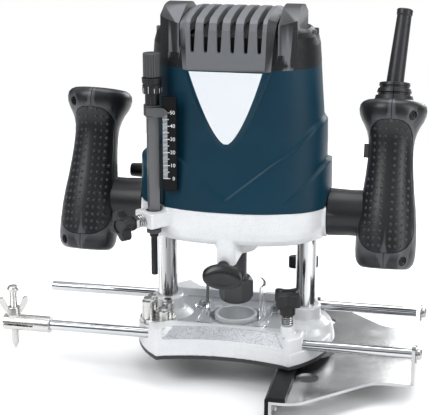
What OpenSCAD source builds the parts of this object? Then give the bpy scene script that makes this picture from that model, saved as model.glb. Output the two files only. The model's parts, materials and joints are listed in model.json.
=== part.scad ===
// Plunge router with a parallel fence and a trammel point.
// Millimetres, +Z up. The origin is on the spindle axis, in the plane of the sole's underside.
// +X is the side the fence is fitted to, and the user stands at -Y.

/* [Base] */
// Radius of the round base
base_r = 78; // [76:0.5:80]
// Distance from the spindle axis to the middle of the hollowed front and back edges
waist_y = 49.5; // [49:0.5:52]
// Height of the base's front and back walls, above the sole's underside
wall_top = 25; // [24:0.5:27]
// Thickness of the sole plate
sole_t = 3; // [2:0.5:4]

/* [Plunge] */
// Distance of each column from the spindle axis
col_x = 55.7; // [55:0.1:56]
// Radius of the columns
col_r = 8; // [7.5:0.1:8]
// Height of the columns' top ends
col_top = 140; // [130:1:150]
// Underside of the motor carriage at the top of its travel
carriage_z = 90; // [88:0.5:92]

/* [Motor] */
// Height of the joint between carriage and motor housing
housing_z = 118; // [117:0.5:119]
// Height of the joint between motor housing and top cap
cap_z = 224; // [222:0.5:225]
// Half width of the housing at its foot
housing_a = 74; // [73:0.5:75]
// Half depth of the housing at its foot
housing_b = 47.5; // [47:0.5:48]
// Wall of the housing and the cap
wall = 3; // [2.5:0.5:3]
// Height of the collet nut's lower end
nut_z = 31.6; // [31:0.2:34]
// Width of the collet nut across its flats
nut_flats = 24; // [22:0.5:24]
// Radius of the collet's bore, for an 8 mm shank
collet_r = 4; // [3:0.5:5]

/* [Handles] */
// Distance of each handle's axis from the spindle axis
handle_x = 117.5; // [116:0.5:120]
// Backward lean of the handles, in degrees
handle_lean = 16; // [15:1:17]
// How far the left handle's top tilts inwards, in degrees
left_tilt = 1.9; // [0:0.1:2.5]
// Height of the arms' axis
arm_z = 110; // [109:0.5:111]
// Radius of the arms
arm_r = 18.4; // [17:0.1:18.5]

/* [Depth stop] */
// Place of the depth rod
rod_x = -56; // [-57:0.5:-55]
// Place of the depth rod, front to back
rod_y = -41; // [-42:0.5:-40]
// Turn of the square rod about its own axis, in degrees
rod_turn = 28; // [0:1:45]
// Height of the thin rod's lower tip
tip_z = 64; // [62:1:70]

/* [Fence] */
// Distance of the guide rods from the spindle axis
guide_y = 43.5; // [43:0.1:44]
// Height of the guide rods
guide_z = 16; // [15.5:0.1:16]
// Radius of the guide rods
guide_r = 4; // [3.9:0.05:4]
// Distance of the fence face from the spindle axis
fence_x = 41; // [30:1:60]
// Half length of the fence
fence_half = 106; // [100:1:110]
// Lower edge of the fence face
fence_bottom = -22; // [-26:1:-18]

/* [Hidden] */

$fn = 64;
$inward = 0;                    // tilt of the handle that is being made
e = 0.01;                       // keeps cutting tools proud of a face
gap = 0.3;                      // between pieces that move past each other
run = 0.05;                     // radial play of a shaft in its bearing
corner_x = 50;                  // where the hollowed edges end
corner_y = waist_y + 8;
waist_sag = corner_y - waist_y;
waist_r = (corner_x * corner_x + waist_sag * waist_sag) / (2 * waist_sag);
plate_top = 11;                 // rim of the base
plateau_top = 18;               // middle of the base
block_x = 60;                   // end faces of the rod blocks
wall_in = 37.5;                 // inner side of the front and back walls
clamp_x = 48;                   // rod clamps
seat_z = 22;                    // turret seat
turret_x = -57;
turret_y = -29;
turret_r = 14;
bore_top = 20;                  // floor of the columns' bore
spring_top = 136.5;
spindle_r = 8.5;
bearing_z = 92;
lock_z = 78;                    // spindle-lock pin
cap_top = 263;
nut_r = nut_flats / sqrt(3);
rod_right = 142.5;              // guide rods end at the fence's end plate
fence_top = -0.6;
facing_t = 3.4;
plate_t = 2.2;
trammel_x = -171.4;
knob_tilt = 53;                 // the depth clamp points left and this much to the front
lug_z = 103.5;                  // underside of the lug that the depth rod runs in
handle_foot = [handle_x, -17, 73];
handle_len = 127;
grip_top = 112;
collar_h = 13.4;                // cord collar on top of the right handle
seam_x = 0;                     // the handle shells meet in this plane, in their own frame

// Radius of a handle at height t above its foot
handle_profile = [[0, 18.5], [2.5, 21.4], [7, 22.6], [16, 22.8], [36, 22], [56, 19.6], [76, 17.8],
    [92, 17], [100, 17.9], [106, 20.4], [111.5, 23.6], [117, 25.4], [122, 25], [125.5, 22.6], [127, 19]];

// ---------- helpers ----------

module mirror_x() {
    children();
    mirror([1, 0, 0]) children();
}

module along_x(x0, x1, r) {
    translate([x0, 0, 0]) rotate([0, 90, 0]) cylinder(r = r, h = x1 - x0);
}

module at_clamp() {
    translate([rod_x, rod_y, lug_z + 5.6]) rotate([0, 0, 180 + knob_tilt]) children();
}

// An ellipse with its sides squared out a little; squareness 2 is a plain ellipse
module ellipse(a, b, squareness = 2.4) {
    polygon([for (t = [0:5:355]) let (c = cos(t), s = sin(t), k = 2 / squareness)
        [a * sign(c) * pow(abs(c), k), b * sign(s) * pow(abs(s), k)]]);
}

module rounded_box(size, r) {
    linear_extrude(size[2]) rounded_rect(size[0], size[1], r);
}

module rounded_rect(w, d, r) {
    for (sx = [-1, 1], sy = [-1, 1])
        translate([sx * (w / 2 - r), sy * (d / 2 - r)]) circle(r = r, $fn = 32);
    square([w - 2 * r, d], center = true);
    square([w, d - 2 * r], center = true);
}

// A coil of round wire with its axis along +Z: r is the mean radius
module coil(r, wire, turns, h) {
    per_turn = 14;
    sides = 6;
    steps = turns * per_turn;
    function ring(i) = [for (s = [0:sides - 1])
        let (a = 360 * i / per_turn, b = 360 * s / sides, q = r + wire / 2 * cos(b))
        [q * cos(a), q * sin(a), wire / 2 + (h - wire) * i / steps + wire / 2 * sin(b)]];
    points = [for (i = [0:steps], p = ring(i)) p];
    skin = [for (i = [0:steps - 1], s = [0:sides - 1])
        let (n = (s + 1) % sides)
        [i * sides + s, i * sides + n, (i + 1) * sides + n, (i + 1) * sides + s]];
    ends = [[for (s = [sides - 1:-1:0]) s], [for (s = [0:sides - 1]) steps * sides + s]];
    polyhedron(points, concat(skin, ends), convexity = 10);
}

// A star knob with four lobes, its top at z = h, standing on its hub
module star_knob(r, h, hub_r, lobe_h) {
    difference() {
        union() {
            cylinder(r = hub_r, h = h - lobe_h + 1);
            translate([0, 0, h - lobe_h]) cylinder(r = r * 0.72, h = lobe_h);
            for (a = [45:90:315]) rotate([0, 0, a]) translate([r - 3.8, 0, h - lobe_h])
                cylinder(r = 3.8, h = lobe_h, $fn = 32);
        }
        translate([0, 0, h - 1.2]) cylinder(r = 3.6, h = 2);
    }
}

// ---------- base ----------

module base_outline(r = base_r) {
    difference() {
        circle(r = r, $fn = 120);
        for (s = [-1, 1]) translate([0, s * (waist_y + waist_r)]) circle(r = waist_r, $fn = 180);
    }
}

module column_dome() {
    rotate_extrude() polygon([[0, sole_t], [24, sole_t], [24, 9], [22.6, 14], [19.5, 19],
        [15.5, 22], [12.6, 23], [12.6, 32.5], [11.6, 33.5], [0, 33.5]]);
}

module base_casting() color([0.86, 0.87, 0.88]) difference() {
    union() {
        translate([0, 0, sole_t]) linear_extrude(plate_top - sole_t) base_outline();
        intersection() {
            translate([0, 0, sole_t]) linear_extrude(wall_top) base_outline();
            union() {
                translate([-block_x, -base_r, 0]) cube([2 * block_x, 2 * base_r, plateau_top]);
                for (s = [-1, 1]) scale([1, s, 1]) translate([-block_x, wall_in, 0])
                    cube([2 * block_x, base_r, wall_top]);
                translate([turret_x, turret_y, 0]) cylinder(r = turret_r + 1, h = seat_z);
            }
        }
        for (s = [-1, 1]) translate([s * col_x, 0, 0]) column_dome();
        for (s = [-1, 1]) translate([clamp_x, s * guide_y, sole_t]) cylinder(r = 5.5, h = 28);
    }
    cylinder(r = 25.2, h = 6.2);
    cylinder(r = 22, h = 60);
    for (s = [-1, 1]) {
        translate([s * col_x, 0, 6]) cylinder(r = col_r, h = 60);
        translate([-100, s * guide_y, guide_z]) along_x(0, 200, guide_r + run);
        translate([clamp_x, s * guide_y, guide_z]) cylinder(r = 3 + run, h = 30);
        translate([s * 30, 17, 8]) cylinder(r = 2, h = 20);
    }
    translate([turret_x, turret_y, seat_z]) cylinder(r = turret_r + 0.8, h = 40);
    translate([turret_x, turret_y, 8]) cylinder(r = 3, h = 20);
}

module sole_plate() color([0.07, 0.07, 0.08]) difference() {
    linear_extrude(sole_t) base_outline();
    translate([0, 0, -e]) cylinder(r = 17.5, h = sole_t + 1);
}

module guide_columns() color([0.82, 0.83, 0.85])
    for (s = [-1, 1]) translate([s * col_x, 0, 0]) difference() {
        translate([0, 0, 6]) cylinder(r = col_r, h = col_top - 6);
        translate([0, 0, bore_top]) cylinder(r = 5.6, h = col_top);
    }

module plunge_springs() color([0.55, 0.56, 0.58])
    for (s = [-1, 1]) translate([s * col_x, 0, bore_top]) coil(4.2, 1.6, 12, spring_top - bore_top);

module template_guide() color([0.8, 0.81, 0.82]) difference() {
    union() {
        cylinder(r = 17, h = wall_top);
        translate([0, 0, sole_t]) cylinder(r = 25, h = 3);
    }
    translate([0, 0, -e]) cylinder(r = 14.6, h = 60);
}

module chip_guard() color([0.85, 0.93, 0.97, 0.45]) translate([0, 0, plateau_top]) difference() {
    union() {
        linear_extrude(2.5) {
            translate([0, -1]) rounded_rect(56, 46, 4);
            for (s = [-1, 1]) translate([s * 30, 17]) circle(r = 6);
            translate([0, 17]) square([60, 12], center = true);
        }
        cylinder(r = 24, h = 29);
    }
    translate([0, 0, -e]) cylinder(r = 21.6, h = 60);
    translate([-40, -60, 2.5]) cube([80, 52, 60]);
    for (s = [-1, 1]) translate([s * 30, 17, -e]) cylinder(r = 2.2, h = 5);
}

module guard_screws() color([0.75, 0.76, 0.78])
    for (s = [-1, 1]) translate([s * 30, 17, 0]) {
        translate([0, 0, 8]) cylinder(r = 2, h = 13.3);
        translate([0, 0, plateau_top + 2.5]) cylinder(r = 4.4, h = 0.8);
        translate([0, 0, plateau_top + 3.3]) rotate_extrude()
            polygon([[0, 0], [3.3, 0], [3.3, 1], [2.4, 2.1], [0, 2.5]]);
    }

module clamp_springs() color([0.7, 0.71, 0.73])
    for (s = [-1, 1]) translate([clamp_x, s * guide_y, 31]) coil(4.1, 1.1, 4, 8.8);

module clamp_knob(s) color([0.09, 0.09, 0.1])
    translate([clamp_x, s * guide_y, 40]) rotate([0, 0, 12]) difference() {
        star_knob(12.2, 18, 6, 10.5);
        translate([0, 0, -e]) cylinder(r = 3, h = 12);
    }

module clamp_bolt(s) color([0.7, 0.71, 0.73])
    translate([clamp_x, s * guide_y, guide_z + guide_r + gap]) cylinder(r = 3, h = 52 - guide_z - guide_r - gap);

module turret_stop() color([0.84, 0.85, 0.86]) translate([turret_x, turret_y, seat_z + 0.2]) difference() {
    union() {
        cylinder(r = turret_r, h = 3.4);
        cylinder(r = 5, h = 6);
        for (k = [0:3]) rotate([0, 0, -45 + 90 * k]) translate([9, 0, 0])
            cylinder(r = 4.6, h = turret_post(k), $fn = 40);
    }
    translate([0, 0, -e]) cylinder(r = 3 + run, h = 30);
    for (k = [0:3]) rotate([0, 0, -45 + 90 * k]) translate([9, 0, 4]) cylinder(r = 2, h = 30);
}

// Height of a turret post above the disc's underside
function turret_post(k) = 10 + 2.5 * k;

module turret_screws() color([0.7, 0.71, 0.73]) translate([turret_x, turret_y, seat_z + 0.2])
    for (k = [0:3]) rotate([0, 0, -45 + 90 * k]) translate([9, 0, 0]) {
        translate([0, 0, 4]) cylinder(r = 2, h = turret_post(k) - 4);
        translate([0, 0, turret_post(k)]) cylinder(r = 3.6, h = 2.4, $fn = 6);
    }

module turret_pivot() color([0.66, 0.67, 0.69]) translate([turret_x, turret_y, 0]) {
    translate([0, 0, 8]) cylinder(r = 3, h = seat_z - 1.5);
    translate([0, 0, seat_z + 6.5]) cylinder(r = 4.2, h = 2.2);
}

// ---------- fence and trammel ----------

module guide_rods() color([0.8, 0.81, 0.83]) {
    translate([0, -guide_y, guide_z]) along_x(-160, rod_right, guide_r);
    translate([0, guide_y, guide_z]) along_x(-169, rod_right, guide_r);
}

module fence_outline() {
    back = [[fence_x + 3, fence_half], [56, fence_half], [64, 104], [90, 81], [101, 66],
        [112, 57.5], [122, 55.5], [rod_right, 55.5]];
    difference() {
        polygon(concat(back, [for (i = [len(back) - 1:-1:0]) [back[i][0], -back[i][1]]]));
        translate([fence_x - e, -21]) square([22, 42]);
        translate([fence_x + 20, 0]) circle(r = 22);
        for (s = [-1, 1]) translate([66, s * 59]) circle(r = 8.5);
    }
}

module fence_plate() color([0.74, 0.75, 0.77]) difference() {
    union() {
        translate([0, 0, fence_top - facing_t - plate_t]) linear_extrude(plate_t) fence_outline();
        for (y = [-fence_half, 22])
            translate([fence_x + 3, y, fence_bottom + 2])
                cube([plate_t, fence_half - 22, fence_top - facing_t - fence_bottom - 2]);
        translate([rod_right - e, -55.5, fence_top - facing_t - plate_t]) cube([2.5, 111, 33]);
    }
    for (s = [-1, 1]) translate([0, s * guide_y, guide_z]) along_x(rod_right - 1, rod_right + 5, 2.6);
    for (s = [-1, 1], y = [34, 92]) translate([fence_x, s * y, -14]) along_x(0, 10, 2);
}

module fence_facing() color([0.08, 0.08, 0.09]) for (s = [0, 1]) mirror([0, s, 0]) difference() {
    translate([fence_x, fence_half, 0]) rotate([90, 0, 0]) linear_extrude(fence_half - 22)
        polygon([[0, fence_bottom], [3, fence_bottom], [3, fence_top - facing_t],
            [15, fence_top - facing_t], [15, fence_top], [2, fence_top], [0, fence_top - 2]]);
    for (y = [34, 92]) translate([fence_x, y, -14]) along_x(-1, 6, 2);
    for (y = [34, 92]) translate([fence_x, y, -14]) along_x(-1, 1.5, 4);
}

module fence_screws() color([0.76, 0.77, 0.79]) {
    for (s = [-1, 1]) translate([rod_right + 2.5, s * guide_y, guide_z]) {
        along_x(0, 1.2, 7);
        along_x(1.2, 4.6, 4.4);
        along_x(-2.5, 0, 2.6);
    }
    for (s = [-1, 1], y = [34, 92]) translate([fence_x, s * y, -14]) {
        along_x(0.4, 1.5, 3.8);
        along_x(1.5, 7.6, 2);
        translate([3 + plate_t, 0, 0]) rotate([0, 90, 0]) cylinder(r = 3.8, h = 2.4, $fn = 6);
    }
}

module trammel_sleeve() color([0.82, 0.83, 0.84]) translate([0, -guide_y, guide_z]) difference() {
    union() {
        along_x(-179.5, -141, 6.5);
        translate([trammel_x, 0, 0]) cylinder(r = 5.4, h = 7.2);
    }
    along_x(-161, -140, guide_r + run);
    translate([trammel_x, 0, -10]) cylinder(r = 3, h = 30);
    translate([-180, -8, -1.1]) cube([26, 8, 1.6]);
}

module trammel_pin() color([0.84, 0.84, 0.82]) translate([trammel_x, -guide_y, 0]) rotate_extrude()
    polygon([[0, -7], [2.9, -2.4], [3, -2], [3, 43], [4.8, 43.2], [4.6, 45], [3.2, 46.6], [0, 47.4]]);

module wing_nut() color([0.85, 0.85, 0.84]) translate([trammel_x, -guide_y, guide_z + 7.4])
    rotate([0, 0, 20]) difference() {
        union() {
            cylinder(r1 = 6, r2 = 4.6, h = 6);
            for (s = [-1, 1]) rotate([90, 0, 0]) translate([0, 0, -1])
                linear_extrude(2) polygon([[s * 3.6, 0.6], [s * 6, 1], [s * 11.5, 12], [s * 10.6, 14],
                    [s * 8, 14], [s * 4.4, 6]]);
        }
        translate([0, 0, -e]) cylinder(r = 3 + run, h = 20);
    }

// ---------- carriage and motor ----------

module carriage_skin(inset) {
    hull() {
        translate([0, 0, 104]) linear_extrude(housing_z - 104) ellipse(73.6 - inset, 48.4 - inset);
        translate([0, 0, carriage_z]) linear_extrude(4) ellipse(70 - inset, 44 - inset);
    }
}

module carriage() color([0.88, 0.89, 0.9]) difference() {
    union() {
        difference() {
            carriage_skin(0);
            translate([0, 0, 6]) carriage_skin(4);
            translate([0, 0, carriage_z - e]) cylinder(r = 29, h = 11);
        }
        translate([0, 0, 101]) cylinder(r = 31, h = 4);
        difference() {
            cylinder(r = 31, h = 104);
            translate([0, 0, -e]) cylinder(r = 29, h = 110);
            translate([0, 0, -e]) cylinder(r = 40, h = carriage_z);
        }
        translate([0, 0, 76]) cylinder(r = 17, h = 14);
        translate([0, 0, 88]) cylinder(r = 18.6, h = 17);
        for (s = [-1, 1]) {
            translate([s * col_x, 0, carriage_z]) cylinder(r = 13.5, h = housing_z - carriage_z - 1);
            intersection() {
                translate([0, 0, arm_z]) along_x(s > 0 ? 60 : -72, s > 0 ? 72 : -60, 19.6);
                translate([-80, -30, 60]) cube([160, 60, housing_z - 60]);
            }
        }
        translate([-7.5, -40, 75.6]) cube([15, 30, 20]);
        translate([0, -40, 75.6]) cylinder(r = 7.5, h = 16);
        translate([rod_x, rod_y, lug_z]) rotate([0, 0, knob_tilt]) translate([1.75, 0, 0])
            rounded_box([24.5, 21, 12], 2);
        translate([-66, 30, 98]) rounded_box([22, 20, housing_z - 98], 6);
    }
    for (s = [-1, 1]) translate([s * col_x, 0, carriage_z - 1]) cylinder(r = 11, h = 60);
    translate([0, 0, bearing_z]) cylinder(r = 16, h = 60);
    cylinder(r = 9.3, h = 200);
    translate([rod_x, rod_y, 90]) cylinder(r = 5.9, h = 60);
    translate([0, 0, lock_z]) rotate([90, 0, 0]) cylinder(r = 2 + run, h = 60);
    at_clamp() along_x(5, 30, 3 + run);
    for (s = [-1, 1]) translate([0, 0, arm_z]) along_x(s > 0 ? 72 : -90, s > 0 ? 90 : -72, 19);
    translate([-66, 30, 108]) rotate([0, -90, 0]) cylinder(r = 4, h = 20);
}

module column_bushes() color([0.72, 0.55, 0.3])
    for (s = [-1, 1]) translate([s * col_x, 0, carriage_z + 1]) difference() {
        cylinder(r = 11, h = housing_z - carriage_z - 2);
        translate([0, 0, -1]) cylinder(r = col_r + run, h = 60);
    }

module spring_guides() color([0.6, 0.61, 0.63])
    for (s = [-1, 1]) translate([s * col_x, 0, 0]) {
        translate([0, 0, 90]) cylinder(r = 2.6, h = 118);
        translate([0, 0, spring_top]) cylinder(r = 5.2, h = 5);
        translate([0, 0, 206]) cylinder(r = 4.6, h = 3, $fn = 6);
    }

module housing_skin(inset) {
    hull() {
        for (k = [[housing_z, housing_a, housing_b], [150, housing_a - 0.3, 46.4],
            [184, 70.6, 44.6], [196, 67.2, 44], [cap_z - 1, 64.4, 42.6]])
            translate([0, 0, k[0]]) linear_extrude(1) ellipse(k[1] - inset, k[2] - inset);
    }
}

module motor_housing() color([0.11, 0.27, 0.34]) difference() {
    union() {
        difference() {
            housing_skin(0);
            difference() {
                translate([0, 0, -1]) housing_skin(wall);
                for (s = [-1, 1]) translate([0, 0, arm_z])
                    along_x(s > 0 ? 64.3 : -80, s > 0 ? 80 : -64.3, 23.5);
            }
            translate([0, 0, cap_z - 6]) linear_extrude(10) ellipse(61.4, 39.6);
        }
        difference() {
            intersection() {
                housing_skin(1);
                for (z = [150, 172]) translate([-80, -60, z]) cube([160, 120, 3]);
            }
            cylinder(r = 37, h = 200);
            for (s = [-1, 1], t = [-1, 1]) translate([s * 40, t * 26, 100]) cylinder(r = 5, h = 100);
            for (s = [-1, 1]) translate([s * 27, 0, 100]) rounded_box([15, 41, 100], 5);
        }
        for (s = [-1, 1]) intersection() {
            housing_skin(1);
            translate([s * col_x, 0, 199]) cylinder(r = 11, h = 7);
        }
        translate([0, 0, 210.5]) intersection() {
            union() {
                cylinder(r = 14, h = 10.5);
                translate([-70, -5, 0]) cube([140, 10, 5]);
                translate([-5, -50, 0]) cube([10, 100, 5]);
            }
            translate([0, 0, -210.5]) housing_skin(1);
        }
        translate([-48, -44.6, 126]) cube([12, 14, 82]);
        intersection() {
            translate([0, -38, 0]) rotate([90, 0, 0]) linear_extrude(8) shield(4);
            translate([0, 0, 150]) linear_extrude(cap_z - 150) ellipse(72, 46.6);
        }
    }
    for (s = [-1, 1]) translate([0, 0, arm_z]) along_x(s > 0 ? 66.3 : -90, s > 0 ? 90 : -66.3, 21.5);
    for (s = [-1, 1]) translate([s * col_x, 0, 0]) {
        translate([0, 0, 100]) cylinder(r = col_r + 0.5, h = 99);
        translate([0, 0, 100]) cylinder(r = 2.6, h = 120);
    }
    translate([0, 0, 214]) cylinder(r = 11, h = 10);
    translate([0, 0, 200]) cylinder(r = 8, h = 20);
    translate([rod_x, rod_y, 100]) cylinder(r = 8.2, h = 140);
    translate([0, -44.6, 0]) rotate([90, 0, 0]) linear_extrude(8) shield(0.1);
}

module shield(grow) {
    polygon([for (t = [-1:0.1:1]) [(27 + grow) * t, cap_z - (55 + grow) * (1 - pow(abs(t), 1.8))]]);
}

module label_panel() color([0.93, 0.95, 0.97]) intersection() {
    translate([0, -44.6, 0]) rotate([90, 0, 0]) linear_extrude(4) shield(0);
    translate([0, 0, 160]) linear_extrude(cap_z - 160) ellipse(72, 47);
}

module top_cap() color([0.33, 0.33, 0.35]) difference() {
    union() {
        hull() {
            translate([0, 0, cap_z]) linear_extrude(1) ellipse(64.4, 42.6);
            translate([0, 0, 240]) linear_extrude(1) ellipse(62.5, 42.4);
            translate([0, 0, 252]) linear_extrude(1) ellipse(58, 39.5);
            translate([0, 0, cap_top - 8]) linear_extrude(4) ellipse(52, 35);
        }
        hull() {
            translate([-28, -46.4, cap_z]) cube([56, 92.8, 1]);
            translate([-34, -45, 250]) cube([68, 90, 1]);
            translate([-35, -39, 260]) cube([70, 78, 1]);
            translate([-35, -20, cap_top]) cube([70, 40, 3]);
        }
        for (x = [-55, 37]) hull() {
            translate([x, -36, 245]) cube([18, 72, 10]);
            translate([x, -18, 255]) cube([18, 36, cap_top - 250]);
        }
    }
    translate([0, 0, cap_z - e]) linear_extrude(16) ellipse(60.8, 39.6);
    translate([0, 0, 235]) linear_extrude(9) ellipse(58.5, 37.5);
    translate([0, 0, 240]) linear_extrude(16) ellipse(48, 33);
    for (k = [-3:2]) translate([k * 9.8 + 3.1, -60, 237]) cube([3.6, 120, 40]);
}

module scale_plate() color([0.05, 0.05, 0.06])
    translate([-47.5, -46, 132.5]) cube([11, 1.4, 71]);

module stator() color([0.45, 0.46, 0.48]) translate([0, 0, 138]) difference() {
    union() {
        cylinder(r = 37, h = 46);
        for (s = [-1, 1]) translate([s * 27, 0, -6]) rounded_box([14, 40, 58], 5);
    }
    translate([0, 0, -10]) cylinder(r = 22, h = 70);
}

module brush_holders() color([0.75, 0.6, 0.3]) for (s = [0, 1]) mirror([s, 0, 0])
    translate([15.5, -6, 196]) difference() {
        cube([24, 12, 14]);
        translate([-1, 2, 3]) cube([22, 8, 8]);
    }

module carbon_brushes() color([0.12, 0.12, 0.13]) for (s = [0, 1]) mirror([s, 0, 0])
    translate([14.3, -3.9, 199.1]) cube([15, 7.8, 7.8]);

module bearing(z, bore, outer, h) color([0.66, 0.67, 0.69]) translate([0, 0, z]) difference() {
    cylinder(r = outer, h = h);
    translate([0, 0, -e]) cylinder(r = bore + run, h = h + 1);
    for (t = [-e, h - 0.6]) translate([0, 0, t]) difference() {
        cylinder(r = outer - 1.8, h = 0.7);
        cylinder(r = bore + 1.8, h = 0.7);
    }
}

module lower_bearing() bearing(bearing_z, 7.5, 16, 9);

module upper_bearing() bearing(214, 4, 11, 7);

module spindle() color([0.2, 0.2, 0.22]) difference() {
    rotate_extrude() polygon([[0, 40], [spindle_r, 40], [spindle_r, bearing_z - 0.5],
        [7.5, bearing_z - 0.5], [7.5, 120], [6, 121], [6, 213.5], [4, 213.5], [4, 222], [0, 222.5]]);
    cylinder(r1 = 6.6, r2 = 6.6, h = 62);
}

module armature() color([0.6, 0.4, 0.22]) {
    translate([0, 0, 138]) difference() {
        union() {
            cylinder(r = 21.3, h = 46);
            translate([0, 0, -5]) cylinder(r = 17, h = 56);
        }
        translate([0, 0, -10]) cylinder(r = 6, h = 80);
        for (a = [0:30:330]) rotate([0, 0, a]) translate([17, -1, 6]) cube([6, 2, 34]);
    }
    translate([0, 0, 191]) difference() {
        cylinder(r = 14, h = 18.5);
        translate([0, 0, -e]) cylinder(r = 6, h = 30);
    }
}

module fan() color([0.15, 0.15, 0.16]) translate([0, 0, 122]) difference() {
    union() {
        cylinder(r = 10, h = 9);
        cylinder(r = 36, h = 1.6);
        for (a = [0:30:330]) rotate([0, 0, a]) translate([12, -0.8, 0]) cube([23, 1.6, 8]);
    }
    translate([0, 0, -e]) cylinder(r = 6, h = 30);
}

module collet() color([0.62, 0.63, 0.65]) difference() {
    translate([0, 0, nut_z + 1.2]) cylinder(r = 6.5, h = 27);
    translate([0, 0, nut_z]) cylinder(r = collet_r, h = 40);
}

module collet_nut() color([0.11, 0.11, 0.12]) difference() {
    intersection() {
        translate([0, 0, nut_z]) cylinder(r = nut_r, h = 20.4, $fn = 6);
        rotate_extrude() polygon([[0, nut_z], [9, nut_z], [12, nut_z + 1.6], [nut_r + 0.1, nut_z + 5],
            [nut_r + 0.1, nut_z + 17], [11, nut_z + 20.4], [0, nut_z + 20.4]]);
    }
    translate([0, 0, nut_z - e]) cylinder(r = 6.5, h = 40);
    translate([0, 0, 40]) cylinder(r = spindle_r, h = 40);
}

// ---------- handles ----------

// Runs its children in the frame of the right handle, whose axis is +Z
module in_handle() {
    translate(handle_foot) rotate([-handle_lean, -$inward, 0]) children();
}

module handle_round(grow, low = 0, high = handle_len) {
    rotate_extrude() intersection() {
        polygon(concat([[0, 0]], [for (p = handle_profile) [p[1] + grow, p[0]]], [[0, handle_len]]));
        translate([0, low]) square([40, high - low]);
    }
}

module grip_band(inner, outer, low, high) {
    rotate([0, 0, -168]) rotate_extrude(angle = 156) intersection() {
        difference() {
            polygon(concat([[0, 0]], [for (p = handle_profile) [p[1] + outer, p[0]]], [[0, handle_len]]));
            polygon(concat([[0, 0]], [for (p = handle_profile) [p[1] + inner, p[0]]], [[0, handle_len]]));
        }
        translate([0, low]) square([40, high - low]);
    }
}

module handle_shell() {
    difference() {
        union() {
            in_handle() handle_round(0);
            translate([0, 0, arm_z]) along_x(72, handle_x - 8, arm_r);
        }
        in_handle() handle_round(-wall, wall, handle_len - wall);
        in_handle() grip_band(-1.2, 2, 12, grip_top);
        translate([0, 0, arm_z]) along_x(76, handle_x, arm_r - wall);
    }
}

module handle_half(side) {
    intersection() {
        handle_shell();
        in_handle() translate([side > 0 ? seam_x : seam_x - 80, -60, -20]) cube([80, 120, 180]);
    }
}

module cord_hole() {
    in_handle() translate([0, 0, 110]) cylinder(r = 7, h = 60);
}

module right_handle_inner() color([0.1, 0.1, 0.11]) difference() {
    handle_half(-1);
    cord_hole();
    in_handle() translate([-30, -3.5, 82.5]) cube([24, 7, 11]);
}

module right_handle_outer() color([0.1, 0.1, 0.11]) difference() {
    handle_half(1);
    cord_hole();
    at_handle_screws() translate([0, 0, -6]) cylinder(r = 3.8, h = 10);
}

module left_handle_inner() color([0.1, 0.1, 0.11]) mirror([1, 0, 0]) handle_half(-1, $inward = left_tilt);

module left_handle_outer() color([0.1, 0.1, 0.11]) mirror([1, 0, 0]) difference() {
    handle_half(1, $inward = left_tilt);
    at_handle_screws($inward = left_tilt) translate([0, 0, -6]) cylinder(r = 3.8, h = 10);
}

// Screw places on the outer shell: z points out of the handle
module at_handle_screws() {
    for (k = [[115, 24.4], [5.6, 22.2]])
        in_handle() rotate([0, 0, -50]) translate([k[1], 0, k[0]]) rotate([0, 90, 0]) children();
}

module handle_screws() color([0.3, 0.3, 0.32]) {
    at_handle_screws() translate([0, 0, -6]) cylinder(r = 3.8, h = 2.6);
    mirror([1, 0, 0]) at_handle_screws($inward = left_tilt) translate([0, 0, -6]) cylinder(r = 3.8, h = 2.6);
}

module grip(low, high) { grip_band(-1.2, 0.9, low, high); }

module right_grip() color([0.16, 0.16, 0.17]) in_handle() grip(12, grip_top);

module left_grip() color([0.16, 0.16, 0.17]) mirror([1, 0, 0])
    in_handle($inward = left_tilt) grip(12, grip_top);

module cord_collar() color([0.08, 0.08, 0.09]) in_handle() difference() {
    translate([0, 0, handle_len]) rotate_extrude() polygon([[0, 0], [15.2, 0], [14.6, 3], [13, 3.6],
        [13, 4.8], [13.8, 5.4], [13.2, 8.4], [11.6, 9], [11.6, 10.2], [12.4, 10.8], [11.6, collar_h],
        [0, collar_h]]);
    translate([0, 0, 100]) cylinder(r = 6.9, h = 60);
}

// Frame of the strain relief: z runs up its axis from the collar's top
module in_relief() {
    in_handle() translate([0, 0, handle_len + collar_h]) rotate([-1.2, 4.6, 0]) children();
}

module strain_relief() color([0.07, 0.07, 0.08]) difference() {
    union() {
        in_relief() rotate_extrude() polygon([[0, 0.8], [6.5, 0.8], [5.4, 52], [6.1, 52.6], [6.1, 55.6],
            [5.4, 56.4], [0, 56.4]]);
        in_handle() translate([0, 0, handle_len - 4]) cylinder(r = 6.8, h = 18.6);
        in_handle() translate([0, 0, handle_len - 7.4]) cylinder(r = 9.6, h = 4);
    }
    in_relief() translate([0, 0, -30]) cylinder(r = 3.7, h = 100);
}

module switch_module() color([0.25, 0.25, 0.27]) in_handle() translate([-5.7, -8, 78]) cube([16, 16, 20]);

module switch_button() color([0.06, 0.06, 0.07]) in_handle() translate([-20.2, -3.2, 82.8]) cube([10.4, 6.4, 10.4]);

module plunge_lock_pivot() color([0.7, 0.71, 0.73]) translate([-66, 30, 108]) rotate([0, -90, 0]) {
    cylinder(r = 4, h = 18);
    translate([0, 0, 17.4]) cylinder(r = 6, h = 2.4, $fn = 6);
}

module plunge_lock_lever() color([0.12, 0.12, 0.13]) translate([-66, 30, 108]) rotate([0, -90, 0])
    translate([0, 0, 11.4]) difference() {
        union() {
            cylinder(r = 8.5, h = 5.6);
            translate([0, -5, 0]) rounded_lever();
        }
        translate([0, 0, -1]) cylinder(r = 4 + run, h = 20);
    }

module rounded_lever() {
    linear_extrude(5.6) polygon([[0, -2], [21, 0], [26, 3], [26, 8], [21, 10.6], [0, 12]]);
    translate([19, 5.4, 0]) cylinder(r = 6, h = 16);
}

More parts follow.
